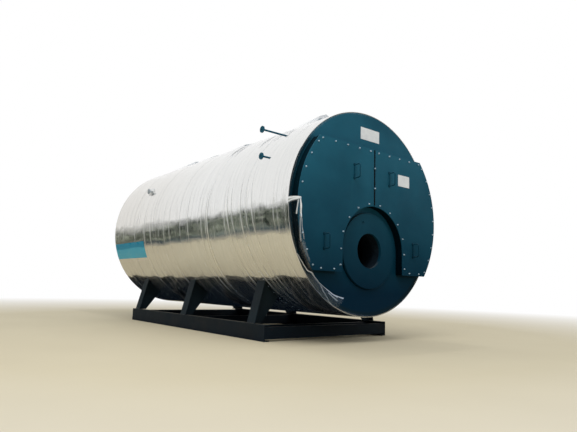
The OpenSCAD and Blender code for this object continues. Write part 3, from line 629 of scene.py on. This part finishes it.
# %% [markdown]
# The painted welds run round the smoke boxes, the burner ring, the access neck, the flue and the feet of
# the handles. Each line lies a little outside the edge that it closes.

# %% Painted welds
bead_lift, neck_r = 0.003, 0.28
flue_z, flue_r = middle("flue_neck")[2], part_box("flue_neck")[1].x


def ring_line(x, y, z, radius, steps):
    across, up_down, _ = revolve([(radius, 0)], steps)
    return [(x + a, y, z + b) for a, b in zip(across[0], up_down[0])]


def side_line(radius, drop, top, bottom, steps):
    """The left and the right arc of a smoke box, between two heights."""
    ends = [math.asin((z + drop) / radius) for z in (top, bottom)]
    left = [(-radius * math.cos(a), radius * math.sin(a) - drop) for a in np.linspace(*ends, steps)]
    return left, [(-x, z) for x, z in reversed(left)]


def front_box_line():
    top, bottom = box_high.z - axis_z + bead_lift, box_low.z - axis_z - bead_lift
    left, right = side_line(box_high.x + bead_lift, side_drop, top, bottom, 70)
    arch = arch_r - bead_lift
    over = [(-arch * math.cos(a), arch_z + arch * math.sin(a)) for a in np.linspace(0, math.pi, 60)]
    return left + [(-arch, bottom)] + over + [(arch, bottom)] + right


def rear_box_line():
    low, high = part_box("rear_smoke_box")
    left, right = side_line(high.x + bead_lift, 0, high.z - axis_z, low.z - axis_z, 50)
    return right + left


painted = [on_plane(front_box_line(), front_y - 0.002),
           ring_line(0, front_y - 0.002, burner_z, burner_r + bead_lift, 90),
           ring_line(0, rear_y + 0.002, burner_z, neck_r + bead_lift, 60),
           ring_line(0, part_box("rear_panel")[1].y + 0.002, flue_z, flue_r + bead_lift, 60),
           ring_line(0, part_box("flue_flange")[1].y + 0.001, flue_z, flue_r, 72),
           on_plane(rear_box_line(), rear_y + 0.002)]
pad, handle_tall = 0.019, 0.210
for side, name in ((-1, "door_handles_left"), (1, "door_handles_right")):
    low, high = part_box(name)
    outer, inner = (low.x + pad, high.x - pad)[::-side]
    for x, z in ((inner, high.z - pad), (inner, high.z - pad - handle_tall),
                 (outer, low.z + pad), (outer, low.z + pad + handle_tall)):
        painted.append(ring_line(x, door_y - 0.001, z, pad + 0.0015, 14))
# The welds wear the smoke box's painted shade.
lay("painted_welds", painted, True, {}, shaded_teal)

# %% [markdown]
# The legs are welded to the beams along both sides of their outer strip and of their web. The seam
# between the doors is filled from the arch to their top.

# %% Leg welds and door seal
on_legs, off_beam, strip, web_half, web_long = [], 0.002, 0.018, 0.010, 0.19
for side, name in ((-1, "left"), (1, "right")):
    for row in ("front", "middle", "rear"):
        low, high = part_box(f"leg_{row}_{name}")
        outer, foot, web_y = (low.x, high.x)[side > 0], low.z + off_beam, (low.y + high.y) / 2
        for x in (outer - side * off_beam, outer - side * strip):
            on_legs.append([(x, low.y + 0.004, foot), (x, high.y - 0.004, foot)])
        for off in (-web_half, web_half):
            on_legs.append([(outer - side * (strip + off_beam), web_y + off, foot),
                            (outer - side * web_long, web_y + off, foot)])
lay("base_welds", on_legs, False, {"Bead radius": 0.006}, base_paint)
seam = on_plane([(0, z) for z in (arch_z + arch_r + 0.021, 1.002)], door_y + 0.009)
lay("door_seal", [seam], False, {"Bead radius": 0.0185, "Step length": 0.012, "Least swell": 0.85},
    sealant)

# %% [markdown]
# ## Sealing faces
# A flange seals on a raised ring round its bore. On the crown and underneath it is turned bare, and on
# the level nozzles it is painted over. Each ring is a short turned profile, set on the flange's face.

# %% Sealing faces
def turned_ring(center, axis, inner, outer, lift=0.002, steps=64):
    """Points and faces of a ring that stands proud of the face at center, looking along axis."""
    axis = Vector(axis)
    side = axis.orthogonal().normalized()
    across, over, out = revolve([(inner, 0), (inner, lift), (outer - lift / 2, lift), (outer, 0)], steps)
    points = np.array(center) + sum(share[..., None] * np.array(way) for share, way in
                                    ((across, side), (over, axis.cross(side)), (out, axis)))
    return points.reshape(-1, 3), grid_faces(4, steps, closed=True)[:, ::-1]


def make_rings(name, places, material, slot):
    rings = [turned_ring(*place) for place in places]
    faces = [faces + k * len(points) for k, (points, faces) in enumerate(rings)]
    points = np.concatenate([points for points, _ in rings])
    return make_piece(name, points, np.concatenate(faces), material, slot, smooth=False)


def flange_ends(name):
    """Where along the boiler the first and the last round flange of a row stand."""
    low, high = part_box(name)
    return low.y + high.x, high.y - high.x


def level_flanges(name):
    """The middle along the boiler and the two heights of a pair of level flanges."""
    low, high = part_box(name)
    radius = (high.y - low.y) / 2
    return (low.y + high.y) / 2, (high.z - radius, low.z + radius)


crown_z, under_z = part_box("safety_nozzles")[1].z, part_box("drain_nozzles")[0].z
seats = [((0, middle("steam_outlet")[1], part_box("steam_outlet")[1].z), (0, 0, 1), 0.101, 0.133)]
seats += [((0, y, crown_z), (0, 0, 1), 0.040, 0.068) for y in flange_ends("safety_nozzles")]
seats += [((0, y, under_z), (0, 0, -1), 0.020, 0.042) for y in flange_ends("drain_nozzles")]
painted_seats = []
for side, name in ((-1, "level_nozzles_left"), (1, "level_nozzles_right")):
    level_y, heights = level_flanges(name)
    face_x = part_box(name)[side > 0].x
    painted_seats += [((face_x, level_y, z), (side, 0, 0), 0.010, 0.028) for z in heights]
make_rings("sealing_faces", seats, machined, "stainless")
# The rings on the level nozzles wear the handles' painted shade.
painted_faces = make_rings("painted_faces", painted_seats, handle_teal, "teal_paint")

# %% [markdown]
# ## Rear bolts, studs, rivets and screws
# The rear doors, the access cover, the manhole and the bare plates get their fasteners from the same tree
# as the front, with other sizes. Each band of the jacket laps over the next and is held by a ring of
# small screws.

# %% Rear bolts
rear_top, rear_foot, rear_arc = 1.061, -0.141, (-1, 6.5, 14, 21.5, 29, 36.5, 44)
places = pairs((0.57, 0.71, 0.85), rear_top) + pairs((0.60, 0.78, 0.96, 1.14, 1.32), rear_foot)
places += on_arc(1.381, 0, [180 - a for a in rear_arc]) + on_arc(1.381, 0, rear_arc)
places += [(x, z) for x in (-0.36, -0.12, 0.12, 0.36) for z in (rear_top, rear_foot)]
places += [(s * x, z) for s in (-1, 1) for x in (0.441, 0.519) for z in (0.05, 0.27, 0.49, 0.71, 0.93)]
bolt_on("rear_bolts", on_plane(places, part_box("rear_panel")[1].y), (0, 1, 0))
cover_low, cover_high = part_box("rear_access_cover")
cover_thick = 0.018
places = on_arc(0.312, arch_z, range(15, 375, 30))
bolt_on("cover_bolts", on_plane(places, cover_low.y + cover_thick), (0, 1, 0), cover_size)

# %% Manhole studs, plate rivets and jacket screws
_, hole_y, _ = middle("manhole_cover")
hole_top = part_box("manhole_cover")[1].z
studs = [(0, hole_y + off, hole_top) for off in (-0.06, 0.06)]
bolt_on("manhole_studs", studs, (0, 0, 1), manhole_size)
inset = 0.012
rivets = [(x, low.y, z) for low, high in map(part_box, ("sign_plate", "data_plate"))
          for x in (low.x + inset, high.x - inset) for z in (low.z + inset, high.z - inset)]
bolt_on("plate_rivets", rivets, (0, -1, 0), rivet_size)
bands = sum(name.startswith("jacket_band") for name in frame["nodes"])
outwards = [(math.sin(a), 0, math.cos(a)) for a in np.radians(np.arange(0, 360, 5.3))]
screw_r, from_lap = jacket_r - 0.002, 0.007
screws = [(screw_r * x, front_y + k * drum_len / bands - from_lap, axis_z + screw_r * z)
          for k in range(1, bands) for x, _, z in outwards]
bolt_on("lap_screws", screws, outwards * (bands - 1), screw_size)

# %% Peephole glass
glass_line = [(0.0005, 0.004), (0.022, 0.004), (0.0249, 0.002), (0.0249, -0.002), (0.0005, -0.002)]
across, up_down, out = revolve(glass_line, 32)
make_piece("peephole_glass", grid_points(across, cover_high.y - 0.012 + out, burner_z + up_down),
           grid_faces(len(glass_line), 32, closed=True), glass, "boiler_plate")

# %% [markdown]
# ## Banner
# A strip of two-tone blue vinyl is stuck on the jacket near its rear end, under the film. It is a thin
# sheet that follows the drum, with small ripples where air stayed under it. It carries no words.
# Its place is given by two angles below the drum's widest line and by two distances from the front.

# %% Banner
def vinyl():
    net = Finish("blue_vinyl", Specular_IOR_Level=0.12)
    wave = net.remap(net.noise(1.0, 2, stretch=(1, 1.5, 1)), 0.3, 0.7, -0.02, 0.02)
    lower = net.remap(net.math("ADD", net.spot(from_axis)["Z"], wave), -0.455, -0.445, 1, 0)
    body = net.blend(lower, (0.001, 0.25, 0.43), (0.060, 0.43, 0.61))
    fade = net.remap(net.noise(3, 4), 0.35, 0.7, 0, 0.25)
    return net.feed(Base_Color=net.blend(fade, body, (0.02, 0.33, 0.50)),
                    Roughness=net.remap(net.noise(8, 3), 0.3, 0.7, 0.25, 0.45),
                    Normal=net.bump(net.noise(1.0, 3, stretch=(5, 30, 5)), 0.002, 0.7))


banner_rows, banner_columns, banner_turn, banner_span = 24, 90, (11.2, 23.8), (4.93, 6.55)
down = np.radians(np.linspace(*banner_turn, banner_rows))[:, None]
along = np.linspace(*banner_span, banner_columns)[None, :]
banner_r = jacket_r + 0.0008 + 0.0006 * (1 + np.sin(31 * along + 4 * down) * np.sin(17 * along))
banner_points = grid_points(-banner_r * np.cos(down), front_y + along, axis_z - banner_r * np.sin(down))
banner = make_piece("banner", banner_points, grid_faces(banner_rows, banner_columns), vinyl(), "film",
                    uv=grid_uv(along, -jacket_r * down))

# %% [markdown]
# ## Film round the drum
# Stretch film is wound round and round, so its folds follow the drum, and each turn covers half of the
# one before. It is one thin sheet: a grid of points round the drum, pushed out by long soft folds.
# Angles count from the drum's lowest line, up its left side.
# Where a fitting stands on the crown the film can't follow it, and spans it like a tent: straight lines
# from the fitting's corners to where they touch the drum. That shape is worked out here from the circle.

# %% Points of the film
film_rows, film_columns = 548, 180
film_angle = np.linspace(0, 2 * np.pi, film_columns, endpoint=False)[None, :]
film_along = np.r_[0, 0, np.linspace(0, drum_len, film_rows - 4), drum_len, drum_len][:, None]
film_base = jacket_r + 0.0036
from_top = np.abs(film_angle - np.pi)


def tent(half_width, top):
    """Radius of a film stretched over a flat top of that half width and height, by angle from the top."""
    corner = np.arctan2(half_width, top)
    touch = corner + np.arccos(np.clip(film_base / np.hypot(half_width, top), -1, 1))
    flat = top / np.cos(np.minimum(from_top, 1.2))
    slope = film_base / np.cos(np.clip(touch - from_top, -1.2, 1.2))
    return np.where(from_top < corner, flat, np.where(from_top < touch, slope, film_base))


def crown_tops():
    """Place along the boiler, half width, half length and height of each top that lifts the film."""
    steam, safety, hole, eyes = map(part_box, ("steam_outlet", "safety_nozzles", "manhole_cover", "lifting_eyes"))
    safety_r = safety[1].x
    return [(middle("steam_outlet")[1], steam[1].x, steam[1].x, steam[1].z),
            *((y, safety_r, safety_r, safety[1].z) for y in flange_ends("safety_nozzles")),
            (middle("manhole_cover")[1], hole[1].x, (hole[1].y - hole[0].y) / 2, hole[1].z),
            (eyes[0].y + 0.07, 0.022, 0.07, eyes[1].z + 0.03), (eyes[1].y - 0.15, 0.022, 0.06, eyes[1].z)]


def crown_tents(run=0.42, over=0.006, least_half=0.004):
    """Each tent comes down to the drum over the length run before and behind its top."""
    radius = np.full((film_rows, film_columns), film_base)
    for top_y, half_x, half_y, top in crown_tops():
        off = np.abs(film_along[:, 0] + front_y - top_y)
        out = np.clip((off - half_y) / run, 0, 1)
        inside = np.sqrt(np.clip(1 - (off / half_y) ** 2, 0, 1))
        width = half_x * np.where(off < half_y, np.maximum(inside, 0.25), 0.25 * (1 - out)) + least_half
        height = (top + over - axis_z - film_base) * (1 - out) ** 1.8
        for k in np.nonzero(off < half_y + run)[0]:
            radius[k] = np.maximum(radius[k], tent(width[k], film_base + height[k])[0])
    return radius


film_radius = crown_tents()
print("film grid", film_radius.shape, "highest", round(axis_z + float(film_radius.max()), 3))

# %% [markdown]
# The film shows three kinds of line. Folds are broad and push it out. Strands are narrow and milky: many
# are scattered at random, and the longest ones are set one by one. Slits are painted shade: dark lines near
# the crown where the dark inside would show through gaps. Each starts, bends and ends on its own, and
# leans a little. A strand is fainter on the bright crown, on the side that looks at the floor, and under
# the drum, where the clearer film is painted shade that keeps the underside dark.

# %% Folds of the film
def fold(line, slant, bend, center, length, wide):
    """One long ridge that runs round the drum near the place line, from 0 to 1 at its crest."""
    turn = (film_angle - center + np.pi) % (2 * np.pi) - np.pi
    crest = line + slant * turn + bend * np.sin(3 * turn)
    return np.clip(1 - (turn / length) ** 2, 0, 1) * np.exp(-((film_along - crest) / wide) ** 2)


def fold_field(count, seed, widths, heights, middles=(0, 2 * np.pi), lengths=(0.35, 1.3)):
    """Many folds with their own start, end, slant and strength."""
    random = np.random.default_rng(seed)
    field = np.zeros((film_rows, film_columns))
    for _ in range(count):
        shape = (random.uniform(0, drum_len), random.normal(0.05, 0.06), random.normal(0, 0.015),
                 random.uniform(*middles), random.uniform(*lengths), random.uniform(*widths))
        field += random.uniform(*heights) * fold(*shape)
    return field


def ramp(value, start, end):
    """Rises from 0 at start to 1 at end, and stays there."""
    return np.clip((value - start) / (end - start), 0, 1)


thin = (0.006, 0.010)
long_strands = ((2.21, 0.02, 1.5), (2.27, 0.03, 1.1), (2.42, 0.05, 0.7), (1.12, 0.22, 1.1), (3.68, 0.06, 0.9),
                (5.42, -0.3, 0.8), (0.80, 0.25, 1.0), (1.62, 0.15, 0.8), (2.90, 0.10, 0.8), (4.55, 0.05, 0.9),
                (4.86, 0.05, 1.4), (4.15, 0.06, 0.7), (3.92, 0.05, 0.8), (3.22, 0.08, 0.8), (1.50, 0.24, 1.1),
                (1.36, 0.27, 1.0), (0.97, 0.20, 0.8))
long_slits = ((2.28, -0.05, 0.16, 1.5), (2.08, -0.04, 0.19, 1.2), (1.32, -0.30, 0.17, 1.4),
              (0.95, -0.70, 0.13, 1.2), (0.74, 0.10, 0.10, 1.0))
folds = fold_field(30, 11, (0.012, 0.026), (0.001, 0.004))
strands = fold_field(80, 12, thin, (0.25, 0.9)) + fold_field(46, 13, thin, (0.2, 0.7), (0.3, 1.5), (0.2, 0.7))
strands += fold_field(60, 15, thin, (0.3, 0.8), (1.45, 1.9), (0.12, 0.3)) * np.where(film_along > 4.7, 1, 0.5)
strands += sum(strength * fold(line, slant, 0.01, 1.25, 0.95, 0.010) for line, slant, strength in long_strands)
slits = fold_field(22, 14, (0.012, 0.016), (0.1, 0.4), (2.4, 2.75), (0.08, 0.16))
slits += sum(strength * fold(line, slant, 0.004, 2.47, length, 0.0145)
             for line, slant, length, strength in long_slits)
print(f"folds up to {folds.max() * 1000:.1f} mm, strongest strand {strands.max():.1f}")

# %% Haze and shade of the film
turn_pitch = 0.46
helix = (film_along + 0.05 * film_angle / np.pi) / turn_pitch + 0.02 * np.sin(3 * film_angle)
edge_of_turn = np.exp(-(((helix % 1) - 0.5) * turn_pitch / 0.010) ** 2)
slack = 0.002 * (1 + np.sin(5 * film_angle + 9 * film_along) * np.sin(2.2 * film_along))
film_radius = film_radius + folds + slack + 0.0006 * edge_of_turn
haze = 0.22 * np.clip(folds / 0.006, 0, 1) ** 1.5 + 0.70 * np.clip(strands, 0, 1.3) ** 1.3 + 0.04 * edge_of_turn
haze *= 0.30 + 0.70 * ramp(from_top, 1.15, 1.45)
haze *= 1 - 0.45 * ramp(from_top, 1.72, 1.82) * ramp(from_top, 2.25, 2.15)
# Painted shade: under the drum the film is clearer, so the underside stays dark.
haze *= 1 - 0.62 * ramp(from_top, 2.25, 2.5)
haze += 0.5 * ramp(film_radius - film_base, 0.02, 0.17)
over_banner = (film_along > 4.9) & (film_angle > math.radians(65)) & (film_angle < math.radians(80))
haze = np.where(over_banner, 0.15 * haze, haze)
# Painted shade: the slits, and the high film over the front lifting eye.
shade = np.clip(slits, 0, 1) + 0.55 * ramp(film_radius - film_base, 0.12, 0.20) * (film_along < 1.6)
print(f"mean haze {haze.mean():.2f}, mean shade {shade.mean():.3f}")

# %% [markdown]
# The film parts round the legs and gathers in a small collar at each level nozzle. At both rims it turns in
# over the jacket's edge by a finger's width, where it clears again.
# The creased film would break up the mirror image of the two thin level nozzles, and the smooth jacket of
# this model doesn't. So the mirror leaves them out.

# %% Make the film sheet
def film_collars(height=0.022, wide=0.045):
    level_y, heights = level_flanges("level_nozzles_left")
    collars = 0
    for side in (-1, 1):
        for z in heights:
            angle = np.pi + side * math.acos((z - axis_z) / jacket_r)
            off = np.hypot(film_along - (level_y - front_y), jacket_r * (film_angle - angle))
            collars = collars + height * np.exp(-(off / wide) ** 2)
    return collars


frame["nodes"]["level_nozzles_left"].visible_glossy = painted_faces.visible_glossy = False
flat_rows = np.zeros(film_rows - 4)
turned_in = np.r_[0.036, 0.006, flat_rows, 0.006, 0.036][:, None]
beyond = np.r_[-1, -1, flat_rows, 1, 1][:, None]
film_radius = film_radius + film_collars()
film_radius = film_radius - turned_in * (1 + 0.3 * np.sin(7 * film_angle) * np.cos(4 * film_angle))
haze = np.where(turned_in > 0.01, 0.03, haze)
film_points = grid_points(-film_radius * np.sin(film_angle), front_y + film_along + 0.004 * beyond,
                          axis_z - film_radius * np.cos(film_angle)).reshape(-1, 3)
film_faces = grid_faces(film_rows, film_columns, closed=True)
centers = film_points[film_faces].mean(1)
below = np.degrees(np.arctan2(axis_z - centers[:, 2], np.abs(centers[:, 0])))
at_leg = np.zeros(len(film_faces), bool)
for low, high in (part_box(f"leg_{row}_left") for row in ("front", "middle", "rear")):
    at_leg |= (centers[:, 1] > low.y - 0.01) & (centers[:, 1] < high.y + 0.01) & (below > 41) & (below < 59)
wrap = make_piece("film_wrap", film_points, film_faces[~at_leg], film, "film",
                  uv=grid_uv(jacket_r * film_angle, film_along), haze=haze, shade=shade)
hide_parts("stretch_film")

# %% [markdown]
# The side nozzle has a bag of film pulled over its flange and gathered on the jacket. It is a grid too:
# one direction goes round the nozzle, the other from the drum, over the flange, to the middle.

# %% Film hood over the side nozzle
def nozzle_hood(steps=72):
    low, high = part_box("side_nozzle")
    flange_r, (_, hood_y, hood_z) = (high.y - low.y) / 2, middle("side_nozzle")
    root_x = -math.sqrt(film_base ** 2 - (hood_z - axis_z) ** 2)
    reach = root_x - low.x
    turn = np.linspace(0, 2 * np.pi, steps, endpoint=False)[None, :]
    share = np.array([0, 0.08, 0.2, 0.4, 0.6, 0.8, 0.93, 1.0, 1.03, 1.05, 1.05])[:, None]
    radius = np.array([1.75, 1.45, 1.2, 1.05, 1.04, 1.06, 1.08, 1.05, 0.7, 0.3, 0.01])[:, None]
    gathers = np.sin(9 * turn + 4 * share)
    ring = flange_r * (radius + 0.06 * gathers * np.sin(np.pi * np.clip(share, 0, 1)))
    z = hood_z + ring * np.sin(turn)
    on_drum = -np.sqrt(np.maximum(film_base ** 2 - (z - axis_z) ** 2, 0.01)) - 0.003
    x = np.where(share < 0.15, on_drum - 0.3 * share * reach, root_x - share * reach)
    return make_piece("nozzle_hood", grid_points(x, hood_y + ring * np.cos(turn), z),
                      grid_faces(len(share), steps, closed=True), film, "film",
                      uv=grid_uv(flange_r * turn, share * reach), haze=0.34 + 0.16 * gathers)


hood = nozzle_hood()

# %% [markdown]
# ## Loose flap
# At the front left the last turn of film has torn loose from the rim. It is drawn over the edge of the
# smoke box door like a skirt, with a thick twisted strand at the top and a dense fold hanging from its
# corner. Lower down it comes free of the box and narrows to a clear tail. The skirt is a grid: one
# direction runs down the rim, the other from the rim over the box's edge.

# %% Shape of the flap
flap_long, flap_wide, flap_rows, flap_columns, lip_start = 1.88, 0.20, 260, 48, 0.75
flap_down, flap_out = np.linspace(0, 1, flap_rows)[:, None], np.linspace(0, 1, flap_columns)[None, :]
flap_angle = np.radians(1.5 - 66.0 * flap_down)
box_edge = np.interp(flap_down, [0, 0.5, 0.7, 1], [1.574, 1.582, 1.604, 1.560])
free_edge = np.interp(flap_down, [0, 0.06, 0.2, 0.35, 0.5, 0.7, 0.88, 1],
                      [1.530, 1.515, 1.525, 1.545, 1.565, 1.590, 1.545, 1.480])
reach = np.interp(flap_down, [0, 0.5, 0.58, 0.65, 0.75, 0.85, 1],
                  [0.151, 0.151, 0.102, 0.098, 0.115, 0.130, 0.120])
hang, lip = ramp(flap_out, 0, lip_start), ramp(flap_out, lip_start, 1)
pleats = 0.005 * np.sin(2 * np.pi * (7 * flap_down + 0.35 * np.sin(5 * flap_down)) + 1.5 * flap_out)
pleats = (pleats + 0.0025 * np.sin(2 * np.pi * 19 * flap_down + 4 * flap_out) + 0.016) * np.sin(np.pi * hang)
flap_radius = film_base + (box_edge - film_base) * hang ** 1.4 + (free_edge - box_edge) * lip + pleats
flap_y = front_y - reach * hang ** 0.9 - 0.003 * lip * (1 - np.sin(60 * flap_down))
flap_points = grid_points(-flap_radius * np.cos(flap_angle), flap_y, axis_z + flap_radius * np.sin(flap_angle))
print(f"flap grid {flap_points.shape[:2]} reaches {front_y - flap_y.min():.3f} in front of the plate")

# %% [markdown]
# The flap is nearly clear, and its creases draw it. Each crease is a soft line through points that are
# given as shares of the flap's length and width, with its half width and its strength.

# %% Creases of the flap
def crease(half_width, strength, *path):
    best = np.full((flap_rows, flap_columns), 9.0)
    for (t0, s0), (t1, s1) in zip(path, path[1:]):
        across, along = (s1 - s0) * flap_wide, (t1 - t0) * flap_long
        x, y = (flap_out - s0) * flap_wide, (flap_down - t0) * flap_long
        share = np.clip((x * across + y * along) / (across ** 2 + along ** 2), 0, 1)
        best = np.minimum(best, np.hypot(x - share * across, y - share * along))
    return strength * np.exp(-(best / half_width) ** 2)


creases = (
    crease(0.018, 0.95, (0.012, 0), (0.004, 0.95)), crease(0.015, 0.9, (0.036, 0), (0.010, 0.9)),
    crease(0.013, 0.95, (0.004, 0.94), (0.154, 0.94)), crease(0.006, 0.75, (0.029, 0.75), (0.133, 0.63)),
    crease(0.010, 0.32, (0.150, 0.88), (0.340, 0.62)), crease(0.007, 0.40, (0.154, 0.95), (0.330, 0.93)),
    crease(0.032, 0.14, (0.360, 0.72), (0.550, 0.78)), crease(0.005, 0.75, (0.050, 0.01), (1.0, 0.01)),
    crease(0.0055, 0.8, (0.430, 0.12), (0.510, 0.25), (0.575, 0.5), (0.620, 0.8), (0.680, 0.96), (1.0, 0.97)),
    crease(0.006, 0.4, (0.600, 0.7), (0.720, 0.8), (0.840, 0.45), (0.970, 0.1)),
    crease(0.010, 0.7, (0.800, 0.95), (0.930, 0.93)), crease(0.007, 0.5, (0.830, 0.75), (0.950, 0.70)))
flap_haze = np.clip(np.max(creases, 0) + 0.05 * ramp(flap_down, 0.56, 0.66), 0, 1)
flap = make_piece("film_flap_sheet", flap_points, grid_faces(flap_rows, flap_columns), loose_film, "film",
                  uv=grid_uv(flap_wide * flap_out, flap_long * flap_down), haze=flap_haze)
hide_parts("film_flap")

# %% [markdown]
# ## Floor
# A wide pale floor carries the boiler and fades to white in the distance, where it meets the white
# backdrop. The fade is only for the eye: the light that falls on the boiler sees the floor as it is.

# %% Floor
def stage(name, points, faces, material):
    mesh = bpy.data.meshes.new(name)
    mesh.from_pydata(points, [], faces)
    mesh.materials.append(material)
    made = show(bpy.data.objects.new(name, mesh))
    made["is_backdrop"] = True
    return made


def floor_finish():
    net = Finish("floor", Roughness=0.85, Specular_IOR_Level=0.2)
    body = net.blend(net.noise(0.6, 5), (0.61, 0.54, 0.385), (0.67, 0.60, 0.435))
    net.feed(Base_Color=body)
    far = net.node("ShaderNodeVectorMath", net.place(), operation="LENGTH").outputs["Value"]
    share = net.times(net.remap(far, 6, 17), net.node("ShaderNodeLightPath").outputs["Is Camera Ray"])
    white = net.out("ShaderNodeEmission", Color=(1, 1, 1, 1), Strength=1.0)
    return net.end_in(net.out("ShaderNodeMixShader", share, net.shader.outputs[0], white))


floor_x, floor_y, floor_z = revolve([(0.01, 0), (5, 0), (20, 0), (70, 0)], 96)
stage("floor", grid_points(floor_x, floor_y, floor_z).reshape(-1, 3).tolist(),
      grid_faces(4, 96, closed=True).tolist(), floor_finish())

# %% [markdown]
# ## Something dark to mirror
# Polished metal only looks like metal when there is something dark to mirror. So a low dark screen stands
# far out all round, with lighter patches in it. Its upper edge is ragged, and softer towards the rear. In
# front it is darker, and at its foot it is bluish and thins out, so that the floor begins there.
# A dark strip lies under the base, a painted shade of the ground there. Only reflections see both, and they add
# and block no light.

# %% Screen that only reflections see
def screen_finish():
    net = Finish("dark_screen")
    spot, nearly_black = net.spot(), (0.003, 0.009, 0.006)
    height = spot["Z"]
    patches = net.remap(net.noise(2.6, 3, 0.6, stretch=(1, 1, 0.9)), 0.46, 0.60)
    body = net.coat(net.blend(patches, nearly_black, (0.36, 0.40, 0.31)),
                    (net.remap(spot["Y"], 0.5, 4.5, 0.6, 0), nearly_black),
                    (net.remap(height, 0.35, 1.15, 0.85, 0), (0.012, 0.045, 0.085)),
                    (net.remap(height, 0.01, 0.05, 1, 0), (0.002, 0.004, 0.007)))
    glow = net.out("ShaderNodeEmission", Color=body, Strength=1.0)
    edge = net.math("ADD", height, net.remap(net.noise(1.3, 5, 0.6), 0.3, 0.7, -0.45, 0.45))
    soft = net.remap(spot["Y"], 1.0, 9.0, 0.3, 0.75)
    top = net.remap(net.math("DIVIDE", net.math("SUBTRACT", edge, 2.85), soft), -1, 1)
    foot = net.times(net.remap(height, 0.03, 0.62, 0.85, 0.0), net.remap(height, 0.01, 0.03))
    clear = net.out("ShaderNodeBsdfTransparent")
    return net.end_in(net.out("ShaderNodeMixShader", net.math("MAXIMUM", top, foot), glow, clear))


def rounded_oblong(half_x, half_y, steps=160):
    turn = np.linspace(0, 2 * np.pi, steps, endpoint=False)
    return [(half * np.sign(wave) * np.abs(wave) ** 0.35).tolist()
            for half, wave in ((half_x, np.cos(turn)), (half_y, np.sin(turn)))]


screen_x, screen_y = rounded_oblong(5.6, 15.0)
# Painted shade: a dark strip under the base, seen only in reflections.
strip = [(-1.45, -4.6, 0.004), (1.45, -4.6, 0.004), (1.45, 7.0, 0.004), (-1.45, 7.0, 0.004)]
screen = stage("dark_screen", [(x, y, z) for z in (0.0, 4.6) for x, y in zip(screen_x, screen_y)] + strip,
               grid_faces(2, 160, closed=True).tolist() + [(320, 321, 322, 323)], screen_finish())
screen.visible_camera = screen.visible_diffuse = screen.visible_shadow = False
screen.visible_transmission = screen.visible_volume_scatter = False
print("screen round the boiler:", len(screen.data.polygons), "faces")

# %% [markdown]
# ## Sky and lamp
# The light is that of a bright overcast day: a soft sky that is strongest overhead, and one large soft
# lamp from the front left. The eye and the mirror see the sky as plain white.

# %% Sky and lamp
world = bpy.data.worlds.new("studio")
bpy.context.scene.world = world
world.use_nodes = True
world.node_tree.nodes.clear()
net = Net(world.node_tree)
direction = net.node("ShaderNodeTexCoord").outputs["Generated"]
upward = net.node("ShaderNodeSeparateXYZ", direction).outputs["Z"]
sky = net.remap(upward, -0.1, 0.9, 0.5, 0.95)
light = net.out("ShaderNodeBackground", Color=(0.97, 0.985, 1.0, 1), Strength=sky)
white = net.out("ShaderNodeBackground", Color=(1, 1, 1, 1), Strength=1.0)
path = net.node("ShaderNodeLightPath").outputs
mirrored = net.math("MAXIMUM", path["Is Glossy Ray"], path["Is Transmission Ray"])
seen = net.math("MAXIMUM", path["Is Camera Ray"], mirrored)
net.node("ShaderNodeOutputWorld", net.out("ShaderNodeMixShader", seen, light, white))

lamp_at, lamp_to = Vector((-5, -7, 10)), Vector((0, 0, 1.8))
disk = bpy.data.lights.new("key", "AREA")
disk.shape, disk.size, disk.energy = "DISK", 7, 420
lamp = show(bpy.data.objects.new("key", disk))
aim = (lamp_to - lamp_at).to_track_quat("-Z", "Y").to_matrix().to_4x4()
lamp.matrix_world = Matrix.Translation(lamp_at) @ aim
lamp.visible_glossy = False
print("lamp at", tuple(lamp_at))

# %% [markdown]
# ## Finish
# The box round the dressed boiler is measured.

# %% Sizes and finish
low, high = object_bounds()
